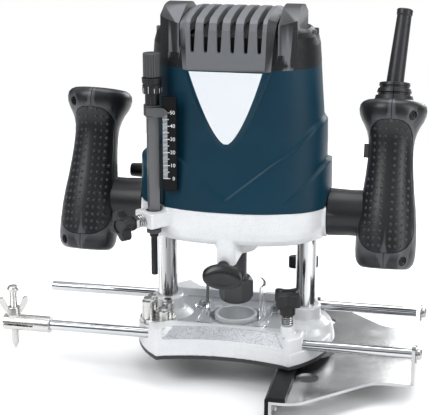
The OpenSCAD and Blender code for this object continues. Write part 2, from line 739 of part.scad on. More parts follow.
module spindle_lock() color([0.08, 0.08, 0.09]) {
    translate([0, -51.2, 0]) rotate([90, 0, 0]) hull() {
        translate([0, 70.5]) linear_extrude(1.4) ellipse(16, 9.4, 2);
        translate([0, 68.5]) linear_extrude(4.2) ellipse(15.2, 8.2, 2);
        translate([0, 67.5]) linear_extrude(5.6) ellipse(13.6, 6.4, 2);
    }
    translate([0, -13.6, lock_z]) rotate([90, 0, 0]) cylinder(r = 2, h = 38.6);
}

// ---------- depth stop ----------

module depth_bar() color([0.5, 0.51, 0.53]) translate([rod_x, rod_y, 0]) difference() {
    translate([0, 0, 103.6]) rotate([0, 0, rod_turn]) translate([-3.95, -3.95, 0]) cube([7.9, 7.9, 92.9]);
    translate([0, 0, 90]) cylinder(r = 2.5 + run, h = 120);
}

module depth_pointer() color([0.36, 0.37, 0.38]) translate([rod_x, rod_y, 187.8]) difference() {
    union() {
        rotate([0, 0, rod_turn]) translate([-5.6, -5.6, 0]) cube([11.2, 11.2, 8.6]);
        translate([-3, -5.6, 3.6]) rotate([90, 0, 0]) linear_extrude(1.8)
            polygon([[0, -3], [12, -2.4], [17, 0], [12, 3.4], [0, 4.4]]);
    }
    translate([0, 0, -e]) rotate([0, 0, rod_turn]) translate([-3.95, -3.95, 0]) cube([7.9, 7.9, 20]);
}

module depth_ring() color([0.14, 0.14, 0.15]) translate([rod_x, rod_y, 0]) difference() {
    union() {
        translate([0, 0, 196.5]) cylinder(r = 5.3, h = 9);
        translate([0, 0, 205]) cylinder(r = 7.2, h = 8);
        translate([0, 0, 213]) cylinder(r1 = 7.2, r2 = 7.6, h = 4);
    }
    translate([0, 0, 190]) cylinder(r = 2.5 + run, h = 60);
}

module fine_adjust_knob() color([0.48, 0.49, 0.51]) translate([rod_x, rod_y, 217.2]) difference() {
    union() {
        cylinder(r = 5.6, h = 18);
        for (a = [0:30:330]) rotate([0, 0, a]) translate([5.4, 0, 0]) cylinder(r = 1.1, h = 17, $fn = 16);
    }
    translate([0, 0, -e]) cylinder(r = 2.5 + run, h = 14);
}

module fine_adjust_rod() color([0.16, 0.16, 0.17]) translate([rod_x, rod_y, 0]) {
    translate([0, 0, tip_z]) cylinder(r = 2.5, h = 162);
    translate([0, 0, 97.4]) cylinder(r = 5.6, h = 3.6, $fn = 6);
}

module depth_clamp_knob() color([0.09, 0.09, 0.1]) at_clamp() rotate([0, 90, 0]) difference() {
    translate([0, 0, 20.5]) rotate([0, 0, 26]) star_knob(12, 14, 6.3, 8.6);
    translate([0, 0, 20]) cylinder(r = 3, h = 9.2);
}

module depth_clamp_bolt() color([0.7, 0.71, 0.73]) at_clamp() {
    along_x(6.2, 29, 3);
    rotate([0, 90, 0]) translate([0, 0, 17.8]) cylinder(r = 6, h = 2.5, $fn = 6);
}

// ---------- one node at a time, or all of them ----------

base_casting();
sole_plate();
guide_columns();
plunge_springs();
template_guide();
chip_guard();
guard_screws();
clamp_springs();
turret_stop();
turret_screws();
turret_pivot();
clamp_knob(-1);  // front_clamp_knob
clamp_bolt(-1);  // front_clamp_bolt
clamp_knob(1);  // rear_clamp_knob
clamp_bolt(1);  // rear_clamp_bolt
guide_rods();
fence_plate();
fence_facing();
fence_screws();
trammel_sleeve();
trammel_pin();
wing_nut();
carriage();
column_bushes();
spring_guides();
motor_housing();
label_panel();
top_cap();
scale_plate();
stator();
brush_holders();
carbon_brushes();
lower_bearing();
upper_bearing();
left_handle_inner();
left_handle_outer();
right_handle_inner();
right_handle_outer();
left_grip();
right_grip();
handle_screws();
cord_collar();
strain_relief();
switch_module();
switch_button();
plunge_lock_lever();
plunge_lock_pivot();
spindle_lock();
depth_bar();
depth_pointer();
depth_ring();
fine_adjust_knob();
fine_adjust_rod();
depth_clamp_knob();
depth_clamp_bolt();
spindle();
armature();
fan();
collet();
collet_nut();
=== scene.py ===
"""Looks of a plunge router with a parallel fence and a trammel point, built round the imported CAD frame.

Shapes are made in millimetres and turned into metres as each piece is finished. The origin is on the sole's
underside below the spindle, +X points to the fence's side, +Y to the back and +Z up.
"""

import json
from math import asin, atan2, copysign, cos, pi, radians, sin

import bmesh
import bpy
from mathutils import Matrix, Vector


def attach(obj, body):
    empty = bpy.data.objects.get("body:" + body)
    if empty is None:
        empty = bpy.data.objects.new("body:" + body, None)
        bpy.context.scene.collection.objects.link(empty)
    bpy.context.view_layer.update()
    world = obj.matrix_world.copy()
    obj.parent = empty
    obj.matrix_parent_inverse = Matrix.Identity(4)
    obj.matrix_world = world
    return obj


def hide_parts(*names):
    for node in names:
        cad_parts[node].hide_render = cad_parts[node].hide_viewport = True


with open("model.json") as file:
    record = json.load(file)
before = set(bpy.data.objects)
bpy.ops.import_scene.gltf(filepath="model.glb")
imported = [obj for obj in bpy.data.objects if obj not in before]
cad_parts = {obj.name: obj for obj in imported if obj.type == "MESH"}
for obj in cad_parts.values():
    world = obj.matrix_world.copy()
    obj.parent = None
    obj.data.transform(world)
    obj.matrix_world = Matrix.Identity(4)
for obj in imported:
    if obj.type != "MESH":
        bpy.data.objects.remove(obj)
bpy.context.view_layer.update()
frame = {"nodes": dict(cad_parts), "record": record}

TAU = 2 * pi
MM = 0.001

# ---- camera, light and floor ----

CAMERA_PLACE = (0.1686, -0.8921, 0.3747)
CAMERA_TURN = (73.673, 0, 11.764)
CAMERA_LENS, SENSOR_WIDTH = 101.2, 36
FLOOR_Z = -22.6  # just under the fence's lowest edge
FLOOR_HALF = 0.8
WHITE = (1, 1, 1, 1)
# what the metal reflects, from straight down (0) over the horizon (0.5) to straight up (1)
SKY_LEVELS = ((0.48, 0.8), (0.5, 0.02), (0.6, 0.02), (0.72, 0.75))
SKY_LOW, SKY_HIGH = (0.8, 0.8, 0.8, 1), (0.8, 0.82, 0.85, 1)
SKY_STRENGTH = 0.85
# name, place, target, size (all in metres) and power
LIGHTS = (
    ("key", (-0.9, -0.9, 1.1), (0, 0, 0.1), (0.7, 0.9), 15),
    ("fill", (1.2, -0.5, 0.6), (0, 0, 0.12), (0.5, 1.1), 9),
    ("top", (0.1, 0.2, 1.4), (0, 0, 0.1), (1.2, 0.9), 14),
    ("rim", (0.5, 1.2, 0.5), (0, 0, 0.12), (0.9, 0.5), 8),
)


def linked(obj):
    bpy.context.scene.collection.objects.link(obj)
    return obj


def put(node, values):
    """Sets a node's unlinked sockets."""
    for socket, value in values.items():
        node.inputs[socket].default_value = value


def add_camera():
    data = bpy.data.cameras.new("camera")
    data.lens = CAMERA_LENS
    data.sensor_width = SENSOR_WIDTH
    camera = linked(bpy.data.objects.new("camera", data))
    camera.location = CAMERA_PLACE
    camera.rotation_euler = [radians(turn) for turn in CAMERA_TURN]
    bpy.context.scene.camera = camera


def add_light(name, place, target, size, power):
    data = bpy.data.lights.new(name, "AREA")
    data.shape = "RECTANGLE"
    data.size, data.size_y = size
    data.energy = power
    lamp = linked(bpy.data.objects.new(name, data))
    lamp.location = place
    lamp.rotation_euler = (Vector(target) - Vector(place)).to_track_quat("-Z", "Y").to_euler()


def add_world():
    """White where the camera looks past the object, and darker low down in what the metal reflects."""
    world = bpy.data.worlds.new("studio")
    world.use_nodes = True
    bpy.context.scene.world = world
    nodes, link = world.node_tree.nodes, world.node_tree.links.new
    nodes.clear()
    out, mix, seen, around, place, split, height, bands, path = (
        nodes.new("ShaderNode" + kind) for kind in
        ("OutputWorld", "MixShader", "Background", "Background", "TexCoord", "SeparateXYZ", "MapRange",
         "ValToRGB", "LightPath"))
    put(seen, {"Color": WHITE})
    put(around, {"Strength": SKY_STRENGTH})
    put(height, {"From Min": -1})
    marks = bands.color_ramp.elements
    for spot, level in SKY_LEVELS:
        marks.new(spot).color = (level * 0.95, level * 0.98, level, 1)
    marks[0].color = SKY_LOW
    marks[len(marks) - 1].color = SKY_HIGH
    link(place.outputs["Generated"], split.inputs[0])
    link(split.outputs["Z"], height.inputs["Value"])
    link(height.outputs["Result"], bands.inputs["Fac"])
    link(bands.outputs["Color"], around.inputs["Color"])
    link(path.outputs["Is Camera Ray"], mix.inputs[0])
    link(around.outputs[0], mix.inputs[1])
    link(seen.outputs[0], mix.inputs[2])
    link(mix.outputs[0], out.inputs[0])


def add_stage():
    add_camera()
    add_world()
    bpy.context.scene.view_settings.view_transform = "Standard"
    for light in LIGHTS:
        add_light(*light)
    bm = bmesh.new()
    bmesh.ops.create_grid(bm, x_segments=8, y_segments=8, size=FLOOR_HALF)
    mesh = bpy.data.meshes.new("floor")
    bm.to_mesh(mesh)
    bm.free()
    floor = linked(bpy.data.objects.new("floor", mesh))
    floor.location.z = FLOOR_Z * MM
    paint = surface((0.93, 0.93, 0.93), 0.6, patch=300, shift=0.01)
    paint.name = "studio_floor"
    mesh.materials.append(paint)


# ---- materials ----


def surface(colour, rough, metal=0.0, *, other=None, shift=0.12, patch=14.0, stretch=(1, 1, 1),
            grain=0.0, depth=0.0, rough_shift=0.08, edge_highlight=None, flecks=None, coat=0.0, clear=0.0, ior=1.5,
            shine=0.5):
    """A procedural material: clouds between a darker tone and other, which is a lighter one unless given.

    patch and grain are the sizes in mm of its clouds and fine relief, depth the relief's height in mm, stretch
    the pattern's squash along each axis, edge highlight the colour of a painted highlight on sharp convex
    edges, flecks (colour, size in mm, share), clear how much light goes through and shine how strongly it
    reflects."""
    mat = bpy.data.materials.new("surface")
    mat.use_nodes = True
    nodes, links = mat.node_tree.nodes, mat.node_tree.links
    shader = nodes["Principled BSDF"]
    put(shader, {"Metallic": metal, "IOR": ior, "Specular IOR Level": shine, "Coat Weight": coat,
                 "Transmission Weight": clear})
    if coat:
        put(shader, {"Coat Roughness": 0.15})
    where = nodes.new("ShaderNodeTexCoord")
    mapping = nodes.new("ShaderNodeMapping")
    put(mapping, {"Scale": [1000 * v for v in stretch]})  # so that noise is measured in mm
    links.new(where.outputs["Object"], mapping.inputs["Vector"])

    def noise(size, detail=4.0):
        node = nodes.new("ShaderNodeTexNoise")
        put(node, {"Scale": 1 / size, "Detail": detail})
        links.new(mapping.outputs["Vector"], node.inputs["Vector"])
        return node.outputs["Fac"]

    def mix(fac, a, b):
        node = nodes.new("ShaderNodeMix")
        node.data_type = "RGBA"
        links.new(fac, node.inputs[0])
        for value, socket in ((a, node.inputs[6]), (b, node.inputs[7])):
            if isinstance(value, tuple):
                socket.default_value = (*value, 1)
            else:
                links.new(value, socket)
        return node.outputs[2]

    def ramp(fac, low, high):
        node = nodes.new("ShaderNodeMapRange")
        put(node, {"From Min": low, "From Max": high})
        links.new(fac, node.inputs["Value"])
        return node.outputs["Result"]

    other = other or tuple(min(1, c * (1 + shift)) for c in colour)
    darker = tuple(c * (1 - shift) for c in colour)
    tone = mix(ramp(noise(patch), 0.3, 0.7), darker, other)
    if flecks:
        fleck_colour, size, share = flecks
        tone = mix(ramp(noise(size, 1.0), 1 - share, 1.04 - share), tone, fleck_colour)
    # painted highlight: sharp convex edges are lightened towards the given edge colour
    if edge_highlight:
        geometry = nodes.new("ShaderNodeNewGeometry")
        tone = mix(ramp(geometry.outputs["Pointiness"], 0.53, 0.62), tone, edge_highlight)
    links.new(tone, shader.inputs["Base Color"])
    spread = nodes.new("ShaderNodeMapRange")
    put(spread, {"To Min": max(0.02, rough - rough_shift), "To Max": min(1, rough + rough_shift)})
    links.new(noise(patch * 0.6), spread.inputs["Value"])
    links.new(spread.outputs["Result"], shader.inputs["Roughness"])
    if grain:
        bump = nodes.new("ShaderNodeBump")
        put(bump, {"Strength": 1.0, "Distance": depth * MM})
        links.new(noise(grain, 2.0), bump.inputs["Height"])
        links.new(bump.outputs["Normal"], shader.inputs["Normal"])
    return mat


MATERIALS = dict(
    base_paint=surface((0.68, 0.69, 0.705), 0.36, 0.1, shift=0.03, grain=1.0, depth=0.05,
        flecks=((0.5, 0.51, 0.53), 0.42, 0.4), coat=0.3),
    # painted shade: a darker grey for the base's sloping faces; the dark flecks are the paint's speckle
    slope_shade_and_speckle=surface((0.46, 0.47, 0.49), 0.42, 0.3, shift=0.04, patch=9, grain=0.8, depth=0.12,
        flecks=((0.2, 0.21, 0.225), 0.7, 0.46)),
    # painted shade: a darker grey for the recessed flat round the opening
    recess_shade=surface((0.46, 0.47, 0.49), 0.36, 0.35, shift=0.06, patch=24, grain=0.7, depth=0.03),
    sole=surface((0.016, 0.016, 0.018), 0.42, shift=0.2, grain=0.7, depth=0.02),
    chrome=surface((0.56, 0.57, 0.585), 0.1, 1.0, shift=0.05, rough_shift=0.05, patch=30,
        stretch=(1, 1, 0.2), grain=1.4, depth=0.006),
    # painted reflections: light and dark vertical bands in the chrome colour of the guide columns
    column=surface((0.3, 0.305, 0.315), 0.14, 1.0, shift=0.8, other=(0.8, 0.81, 0.82),
        rough_shift=0.05, patch=7, stretch=(1, 1, 0.012)),
    spring=surface((0.45, 0.455, 0.46), 0.25, 1.0),
    nickel=surface((0.56, 0.557, 0.545), 0.27, 1.0, shift=0.06, grain=0.8, depth=0.012),
    clear=surface((0.97, 0.985, 1.0), 0.06, 0.0, shift=0.01, rough_shift=0.03, clear=0.94, ior=1.12),
    zinc=surface((0.42, 0.426, 0.44), 0.2, 1.0, patch=26, other=(0.54, 0.54, 0.53), grain=9, depth=0.05),
    # edge colour below: a painted highlight on sharp convex edges
    black_plastic=surface((0.009, 0.009, 0.01), 0.38, shift=0.2, grain=0.35, depth=0.02, shine=0.3,
        edge_highlight=(0.06, 0.06, 0.062)),
    gloss_black=surface((0.013, 0.013, 0.014), 0.3, shift=0.2, grain=0.5, depth=0.015, shine=0.4),
    bronze=surface((0.5, 0.34, 0.15), 0.3, 1.0),
    teal=surface((0.0012, 0.026, 0.047), 0.42, patch=40, grain=0.4, depth=0.018, shine=0.2,
        flecks=((0.006, 0.05, 0.09), 0.5, 0.3)),
    label=surface((0.66, 0.69, 0.72), 0.3, shift=0.015, patch=30, coat=0.3),
    # edge colour below: a painted highlight on the cap's sharp convex edges
    grey_plastic=surface((0.0095, 0.0098, 0.0108), 0.42, shift=0.08, grain=0.4, depth=0.03,
        shine=0.18, flecks=((0.05, 0.052, 0.056), 0.5, 0.36), edge_highlight=(0.13, 0.135, 0.145)),
    # edge colour below: a painted highlight on sharp convex edges
    bar_steel=surface((0.045, 0.046, 0.049), 0.34, 0.3, shift=0.1, patch=20, stretch=(3, 3, 0.3),
        edge_highlight=(0.2, 0.2, 0.21)),
    # edge colour below: a painted highlight on the handles' sharp convex edges
    handle_plastic=surface((0.012, 0.0122, 0.014), 0.35, shift=0.1, grain=0.45, depth=0.025,
        shine=0.34, edge_highlight=(0.06, 0.062, 0.07)),
    scale_black=surface((0.005, 0.005, 0.006), 0.38, shift=0.1, shine=0.14, grain=0.6, depth=0.01),
    laminations=surface((0.3, 0.31, 0.32), 0.45, 0.9, stretch=(0.05, 0.05, 3)),
    carbon=surface((0.02, 0.02, 0.02), 0.6, shift=0.2, grain=0.3, depth=0.02),
    bearing=surface((0.55, 0.56, 0.58), 0.2, 1.0),
    rubber=surface((0.014, 0.014, 0.016), 0.4, shift=0.15, grain=0.3, depth=0.02, shine=0.4),
    # edge colour below: a painted highlight on sharp convex edges
    dark_steel=surface((0.006, 0.006, 0.007), 0.3, shine=0.22, shift=0.2, grain=0.5, depth=0.012,
        edge_highlight=(0.06, 0.06, 0.064)),
    winding=surface((0.42, 0.2, 0.09), 0.4, 0.8, stretch=(3, 3, 0.2)),
)
for name, mat in MATERIALS.items():
    mat.name = name

# ---- mesh building ----


def polar(r, angle):
    return r * cos(angle), r * sin(angle)


def closed_up(bm):
    """The mesh with all its faces looking outwards."""
    bmesh.ops.recalc_face_normals(bm, faces=bm.faces)
    return bm


def skin(bm, rings):
    """Faces between neighbouring rings of vertices."""
    n = len(rings[0])
    for low, high in zip(rings, rings[1:]):
        for i in range(n):
            j = (i + 1) % n
            bm.faces.new((low[i], low[j], high[j], high[i]))


def loft(rings, cap=True):
    """A skin through closed rings of points that have the same count."""
    bm = bmesh.new()
    grid = [[bm.verts.new(p) for p in ring] for ring in rings]
    skin(bm, grid)
    if cap:
        bm.faces.new(grid[0][::-1])
        bm.faces.new(grid[-1])
    return closed_up(bm)


def turned(profile, steps=64):
    """The solid that a profile of (radius, height) makes, turned about +Z."""
    bm = bmesh.new()
    rings = []
    for r, z in profile:
        if r < 1e-6:
            rings.append([bm.verts.new((0, 0, z))] * steps)
        else:
            rings.append([bm.verts.new((*polar(r, TAU * i / steps), z)) for i in range(steps)])
    pairs = list(zip(rings, rings[1:]))
    if profile[0] != profile[-1] and profile[0][0] > 1e-6:
        pairs.append((rings[-1], rings[0]))
    for low, high in pairs:
        for i in range(steps):
            j = (i + 1) % steps
            corners = list(dict.fromkeys((low[i], low[j], high[j], high[i])))
            if len(corners) > 2:
                bm.faces.new(corners)
    bmesh.ops.remove_doubles(bm, verts=bm.verts, dist=1e-5)
    return closed_up(bm)


def eased(points, radius, steps=3, closed=True):
    """A polyline with its corners rounded."""
    out = []
    n = len(points)
    for i, p in enumerate(points):
        if not closed and i in (0, n - 1):
            out.append(tuple(p))
            continue
        r = radius[i] if isinstance(radius, (list, tuple)) else radius
        p = Vector(p)
        a, b = Vector(points[i - 1]) - p, Vector(points[(i + 1) % n]) - p
        if not r or a.length < 1e-6 or b.length < 1e-6:
            out.append(tuple(p))
            continue
        reach = min(r, a.length * 0.45, b.length * 0.45)
        u, v = p + a.normalized() * reach, p + b.normalized() * reach
        for k in range(steps + 1):
            t = k / steps
            out.append(tuple(u * (1 - t) ** 2 + p * 2 * t * (1 - t) + v * t * t))
    return out


def lathe(profile, ease, steps=64):
    """A turned solid, rounded at every corner that isn't on the axis."""
    return turned(eased(profile, ease, closed=False), steps)


def prism(outline, z0, z1, ease=0.0, steps=2):
    """An upright prism with eased top and bottom edges."""
    levels = [(z0, 0.0), (z1, 0.0)]
    if ease:
        turns = [pi / 2 * k / steps for k in range(steps + 1)]
        low = [(z0 + ease * (1 - cos(t)), ease * (1 - sin(t))) for t in turns]
        levels = low + [(z0 + z1 - z, back) for z, back in reversed(low)]
    return loft([[(x, y, z) for x, y in (inset(outline, back) if back else outline)] for z, back in levels])


def inset(outline, back):
    """The outline drawn in by a distance, corner by corner."""
    n = len(outline)
    area = sum(x0 * y1 - x1 * y0 for (x0, y0), (x1, y1) in zip(outline, outline[1:] + outline[:1]))
    side = 1 if area > 0 else -1
    out = []
    for i in range(n):
        p, q, r = (Vector(outline[k % n]) for k in (i - 1, i, i + 1))
        a, b = (q - p), (r - q)
        if a.length < 1e-9 or b.length < 1e-9:
            out.append(tuple(q))
            continue
        na = Vector((-a.y, a.x)).normalized() * side
        nb = Vector((-b.y, b.x)).normalized() * side
        m = (na + nb)
        k = m.length_squared
        out.append(tuple(q + m * (2 * back / k)) if k > 0.3 else tuple(q + na * back))
    return out


def rounded(w, d, r, steps=6, cx=0.0, cy=0.0):
    """A rectangle with rounded corners."""
    out = []
    for sx, sy, a0 in ((1, 1, 0), (-1, 1, 90), (-1, -1, 180), (1, -1, 270)):
        for k in range(steps + 1):
            a = radians(a0 + 90 * k / steps)
            out.append((cx + sx * (w / 2 - r) + r * cos(a), cy + sy * (d / 2 - r) + r * sin(a)))
    return out


# lays an upright prism along +X, with its outline's x and y turned into y and z
TO_YZ = Matrix(((0, 0, 1, 0), (1, 0, 0, 0), (0, 1, 0, 0), (0, 0, 0, 1)))


def box(x0, y0, z0, x1, y1, z1, ease=0.0):
    return prism([(x0, y0), (x1, y0), (x1, y1), (x0, y1)], z0, z1, ease)


def coil(radius, wire, turns, z0, z1, sides=8, per_turn=24):
    """A coil spring of round wire, with its axis along +Z."""
    steps = int(turns * per_turn)
    rings = []
    for i in range(steps + 1):
        z = z0 + wire / 2 + (z1 - z0 - wire) * i / steps
        across = [polar(wire / 2, TAU * s / sides) for s in range(sides)]
        rings.append([(*polar(radius + out, TAU * i / per_turn), z + up) for out, up in across])
    return loft(rings)


def placed(bm, matrix):
    bmesh.ops.transform(bm, matrix=matrix, verts=bm.verts)
    if matrix.to_3x3().determinant() < 0:
        bmesh.ops.reverse_faces(bm, faces=bm.faces)
    return bm


def at(x=0.0, y=0.0, z=0.0):
    return Matrix.Translation((x, y, z))


def spin(degrees, axis="Z"):
    return Matrix.Rotation(radians(degrees), 4, axis)


def along_x(y, z, side=1):
    """Lays an upright shape along +X, or -X for the other side, at a given y and z."""
    return at(0, y, z) @ spin(90 * side, "Y")


def turned_at(profile, x, y, steps=48):
    return placed(turned(profile, steps), at(x, y))


def rod(r, z0, z1, x=0.0, y=0.0, steps=48):
    """A plain cylinder."""
    return turned_at([(0, z0), (r, z0), (r, z1), (0, z1)], x, y, steps)


def puck(r, z0, z1, ease, steps=64):
    """A cylinder with rounded edges."""
    return lathe([(0, z0), (r, z0), (r, z1), (0, z1)], ease, steps)


def hexagon(r, turn=0.0):
    """A hexagon's outline, turned by a share of its side."""
    return [polar(r, TAU * (i + turn) / 6) for i in range(6)]


def joined(*parts):
    """Several meshes as one, with nothing welded."""
    bm = bmesh.new()
    for part in parts:
        mesh = bpy.data.meshes.new("part")
        part.to_mesh(mesh)
        part.free()
        bm.from_mesh(mesh)
        bpy.data.meshes.remove(mesh)
    return bm


def taken(obj):
    """An object's mesh, with the object itself removed."""
    bm = bmesh.new()
    bm.from_mesh(obj.data)
    bpy.data.objects.remove(obj)
    return bm


def solid(name, bm):
    mesh = bpy.data.meshes.new(name)
    bm.to_mesh(mesh)
    bm.free()
    return linked(bpy.data.objects.new(name, mesh))


def settle(obj):
    """Turns the object's modifiers into its mesh."""
    bpy.context.view_layer.update()
    graph = bpy.context.evaluated_depsgraph_get()
    mesh = bpy.data.meshes.new_from_object(obj.evaluated_get(graph))
    obj.modifiers.clear()
    old = obj.data
    obj.data = mesh
    bpy.data.meshes.remove(old)
    return obj


def carve(obj, *cutters, how="DIFFERENCE"):
    """Cuts meshes out of an object, or keeps only what is in them."""
    for cutter in cutters:
        tool = solid(obj.name + "_tool", cutter)
        mod = obj.modifiers.new("cut", "BOOLEAN")
        mod.operation = how
        mod.solver = "EXACT"
        mod.object = tool
        settle(obj)
        mesh = tool.data
        bpy.data.objects.remove(tool)
        bpy.data.meshes.remove(mesh)
    return obj


def weld(obj, *parts):
    return carve(obj, *parts, how="UNION")


def cast(obj, voxel, smooth=4):
    """Rounds every edge a little, as a casting's are."""
    mod = obj.modifiers.new("remesh", "REMESH")
    mod.mode = "VOXEL"
    mod.voxel_size = voxel
    mod = obj.modifiers.new("smooth", "SMOOTH")
    mod.factor = 0.5
    mod.iterations = smooth
    return settle(obj)


def bevel(obj, width, segments=2, angle=40):
    """Rounds the edges whose faces meet at more than an angle."""
    mod = obj.modifiers.new("bevel", "BEVEL")
    mod.width = width
    mod.segments = segments
    mod.limit_method = "ANGLE"
    mod.angle_limit = radians(angle)
    return settle(obj)


def done(obj, material, body, node=None, sharp=38, weigh=True):
    """Scales a finished piece to metres, paints it and hangs it on its body.

    Edges sharper than an angle stay sharp. weigh shades flat faces flat beside small bevels."""
    obj.data.transform(Matrix.Scale(MM, 4))
    obj.data.materials.clear()
    obj.data.materials.append(MATERIALS[material])
    for face in obj.data.polygons:
        face.use_smooth = True
    obj.data.set_sharp_from_angle(angle=radians(sharp))
    if weigh:
        mod = obj.modifiers.new("normals", "WEIGHTED_NORMAL")
        mod.keep_sharp = True
        settle(obj)
    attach(obj, body)
    if node:
        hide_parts(node)
    return obj


def piece(name, bm, material, body, node=None, sharp=38):
    return done(solid(name, bm), material, body, node, sharp)


def smoothstep(low, high, value):
    """0 below low, 1 above high and an easy rise between."""
    t = min(1.0, max(0.0, (value - low) / (high - low)))
    return t * t * (3 - 2 * t)


def between(table, x):
    """Straight-line reading of a table of (x, value)."""
    if x <= table[0][0]:
        return table[0][1]
    for (x0, v0), (x1, v1) in zip(table, table[1:]):
        if x <= x1:
            return v0 + (v1 - v0) * (x - x0) / (x1 - x0)
    return table[-1][1]


add_stage()

# ---- places shared by several parts ----

ARM_Z = 110.0  # the handles' arms
ROD_Y, ROD_Z = 43.5, 16.0  # the guide rods, one each side of the middle
CLAMP_X = 48.0  # the rod clamps
COLUMN_X = 55.7
DEPTH_ROD = (-56, -41)
TURRET = (-57, -29)

# ---- motor housing ----

HOUSING_Z0, HOUSING_Z1 = 118, 224.0
SQUARE = 2.4  # the power of the housing's oval: 2 is an ellipse, and more is squarer
# the inner wall's half width and half depth at a height, and the heights of the raised lower parts' edges
# at a distance from the middle
INNER_A = [(118, 67.6), (160, 67.2), (188, 66.6), (205, 65.2), (224, 63.8)]
INNER_B = [(118, 47.3), (128, 46.6), (145, 44.9), (170, 43), (200, 42.2), (224, 41.8)]
UPPER_EDGE = [(0, 128), (33, 155), (48, 166), (62, 183), (68, 189)]
LOWER_EDGE = [(40, 124), (46, 129), (60, 144), (70, 157), (74, 160.5)]
LOWER_START = 40
WALL = 3
SHIELD_TIP = 169.0
SHIELD_WIDTH, SHIELD_POWER = 27.5, 0.62
SHIELD_BEVEL = 4.4
ARM_SOCKET_R = 20.6
SCALE_POCKET = (-47.7, -60, 132.2, -36.4, -43.2, 203.8)


def oval_point(a, b, angle):
    c, s = cos(angle), sin(angle)
    k = 2 / SQUARE
    return a * copysign(abs(c) ** k, c), b * copysign(abs(s) ** k, s)


def oval(a, b, z, count=160):
    return [(*oval_point(a, b, TAU * i / count), z) for i in range(count)]


def oval_normal(a, b, x, y):
    k = SQUARE - 1
    return Vector((copysign(abs(x / a) ** k, x) / a, copysign(abs(y / b) ** k, y) / b)).normalized()


def shield_half(z, grow=0):
    """Half width of the raised panel's outline at height z."""
    low = SHIELD_TIP - grow
    return 0.0 if z <= low else (SHIELD_WIDTH + grow) * ((z - low) / (HOUSING_Z1 - low)) ** SHIELD_POWER


def shield_y(z):
    """The raised panel's face leans back a little towards its tip."""
    return -43.7 - (z - SHIELD_TIP) / (HOUSING_Z1 - SHIELD_TIP) * 3.0


def housing_point(angle, z):
    """The housing's outside: the oval, its two raised lower parts, and the panel's flat with its bevel."""
    a, b = between(INNER_A, z), between(INNER_B, z)
    x, y = oval_point(a, b, angle)
    normal = oval_normal(a, b, x, y)
    side = abs(x) / 68
    rise = (between(UPPER_EDGE, abs(x)) - z) / (1.2 + 5.5 * side ** 3)
    proud = (0.8 + 2.0 * side ** 2) * smoothstep(0, 1, rise)
    if abs(x) > LOWER_START:
        rise = (between(LOWER_EDGE, abs(x)) - z) / 1.1
        proud += 3.7 * smoothstep(LOWER_START, 70, abs(x)) * smoothstep(0, 1, rise)
    x, y = x + normal.x * proud, y + normal.y * proud
    if y < 0 and z > SHIELD_TIP - 6:
        # distance in from the panel's outer edge, as a share of its bevel
        inside = (shield_half(z, 4.6) - abs(x)) / SHIELD_BEVEL
        if z < SHIELD_TIP + 7:
            inside = min(inside, (z - SHIELD_TIP + 4) / SHIELD_BEVEL)
        share = min(1, max(0, inside))
        if share > 0:
            y = y + (min(y, shield_y(z)) - y) * share
    return x, y, z


def channel(z0, z1, r=8.4):
    """The room that the depth stop's rod takes."""
    return rod(r, z0, z1, *DEPTH_ROD, 40)


def motor_housing():
    columns, rows = 560, 150
    rings = []
    for k in range(rows + 1):
        z = HOUSING_Z0 + (HOUSING_Z1 - HOUSING_Z0) * k / rows
        rings.append([housing_point(TAU * i / columns, z) for i in range(columns)])
    for z in (HOUSING_Z1, 200, 160, 140, HOUSING_Z0):
        rings.append(oval(between(INNER_A, z) - WALL, between(INNER_B, z) - WALL, z, columns))
    bm = loft(rings, cap=False)
    bm.verts.ensure_lookup_table()
    top = (len(rings) - 1) * columns
    for i in range(columns):
        j = (i + 1) % columns
        bm.faces.new((bm.verts[i], bm.verts[j], bm.verts[top + j], bm.verts[top + i]))
    obj = solid("housing_shell", closed_up(bm))
    sockets = [placed(rod(ARM_SOCKET_R, 60, 90), along_x(0, ARM_Z, side)) for side in (1, -1)]
    carve(obj, channel(110, 230), *sockets, box(*SCALE_POCKET))
    done(obj, "teal", "motor", "motor_housing", sharp=30)


motor_housing()

# ---- top cap ----

# height, half width and half depth
CAP_RINGS = [(224, 63.8, 41.8), (227, 63.7, 41.7), (240, 62.6, 41), (246, 61, 39.8), (249.5, 58.8, 37.8),
             (251.5, 55.5, 35), (252, 50, 30)]
CAP_HOLLOW = [(223, 63.8, 41.8), (240, 62.6, 41), (249, 54, 34)]
# (y, z) of the raised middle, and of the blocks beside it
SPINE_BACK = [(20, 264.2), (38, 261), (42.6, 258.2), (44.8, 253), (46, 240), (46.2, 224)]
SPINE = [(-y, z) for y, z in reversed(SPINE_BACK)] + [(0, 265.8)] + SPINE_BACK
BLOCK_BACK = [(5, 267.8), (13, 266.6), (37, 256.2), (60, 255.2), (60, 235)]
BLOCK = [(-y, z) for y, z in reversed(BLOCK_BACK)] + BLOCK_BACK
BLOCK_SPANS = ((-53, -36.5), (36.5, 49.5))
SLOT_PITCH = 9.8
SLOT_X = [SLOT_PITCH * (k + 0.5) for k in range(-3, 3)]
SLOT_FOOT, SLOT_FOOT_R, SLOT_HALF = 238.4, 1.35, 2.1
LATCH_X = 58.5


def spine_slab(half, flare, drop):
    """The raised middle of the cap: a front-to-back profile carried across, with its sides bevelled."""
    rings = []
    for side, edge in ((-1, 1), (-1, 0), (1, 0), (1, 1)):
        ring = []
        for y, z in SPINE:
            lean = (z - 222) / 40 * 3.2
            x = side * (half + lean * 0.3 + (flare + lean * 0.7) * edge)
            pull = drop * edge
            ring.append((x, copysign(max(0, abs(y) - pull * min(1, abs(y) / 30)), y),
                         z - pull * 0.6 * max(0, min(1, (z - 240) / 20))))
        rings.append(ring)
    return loft(rings)


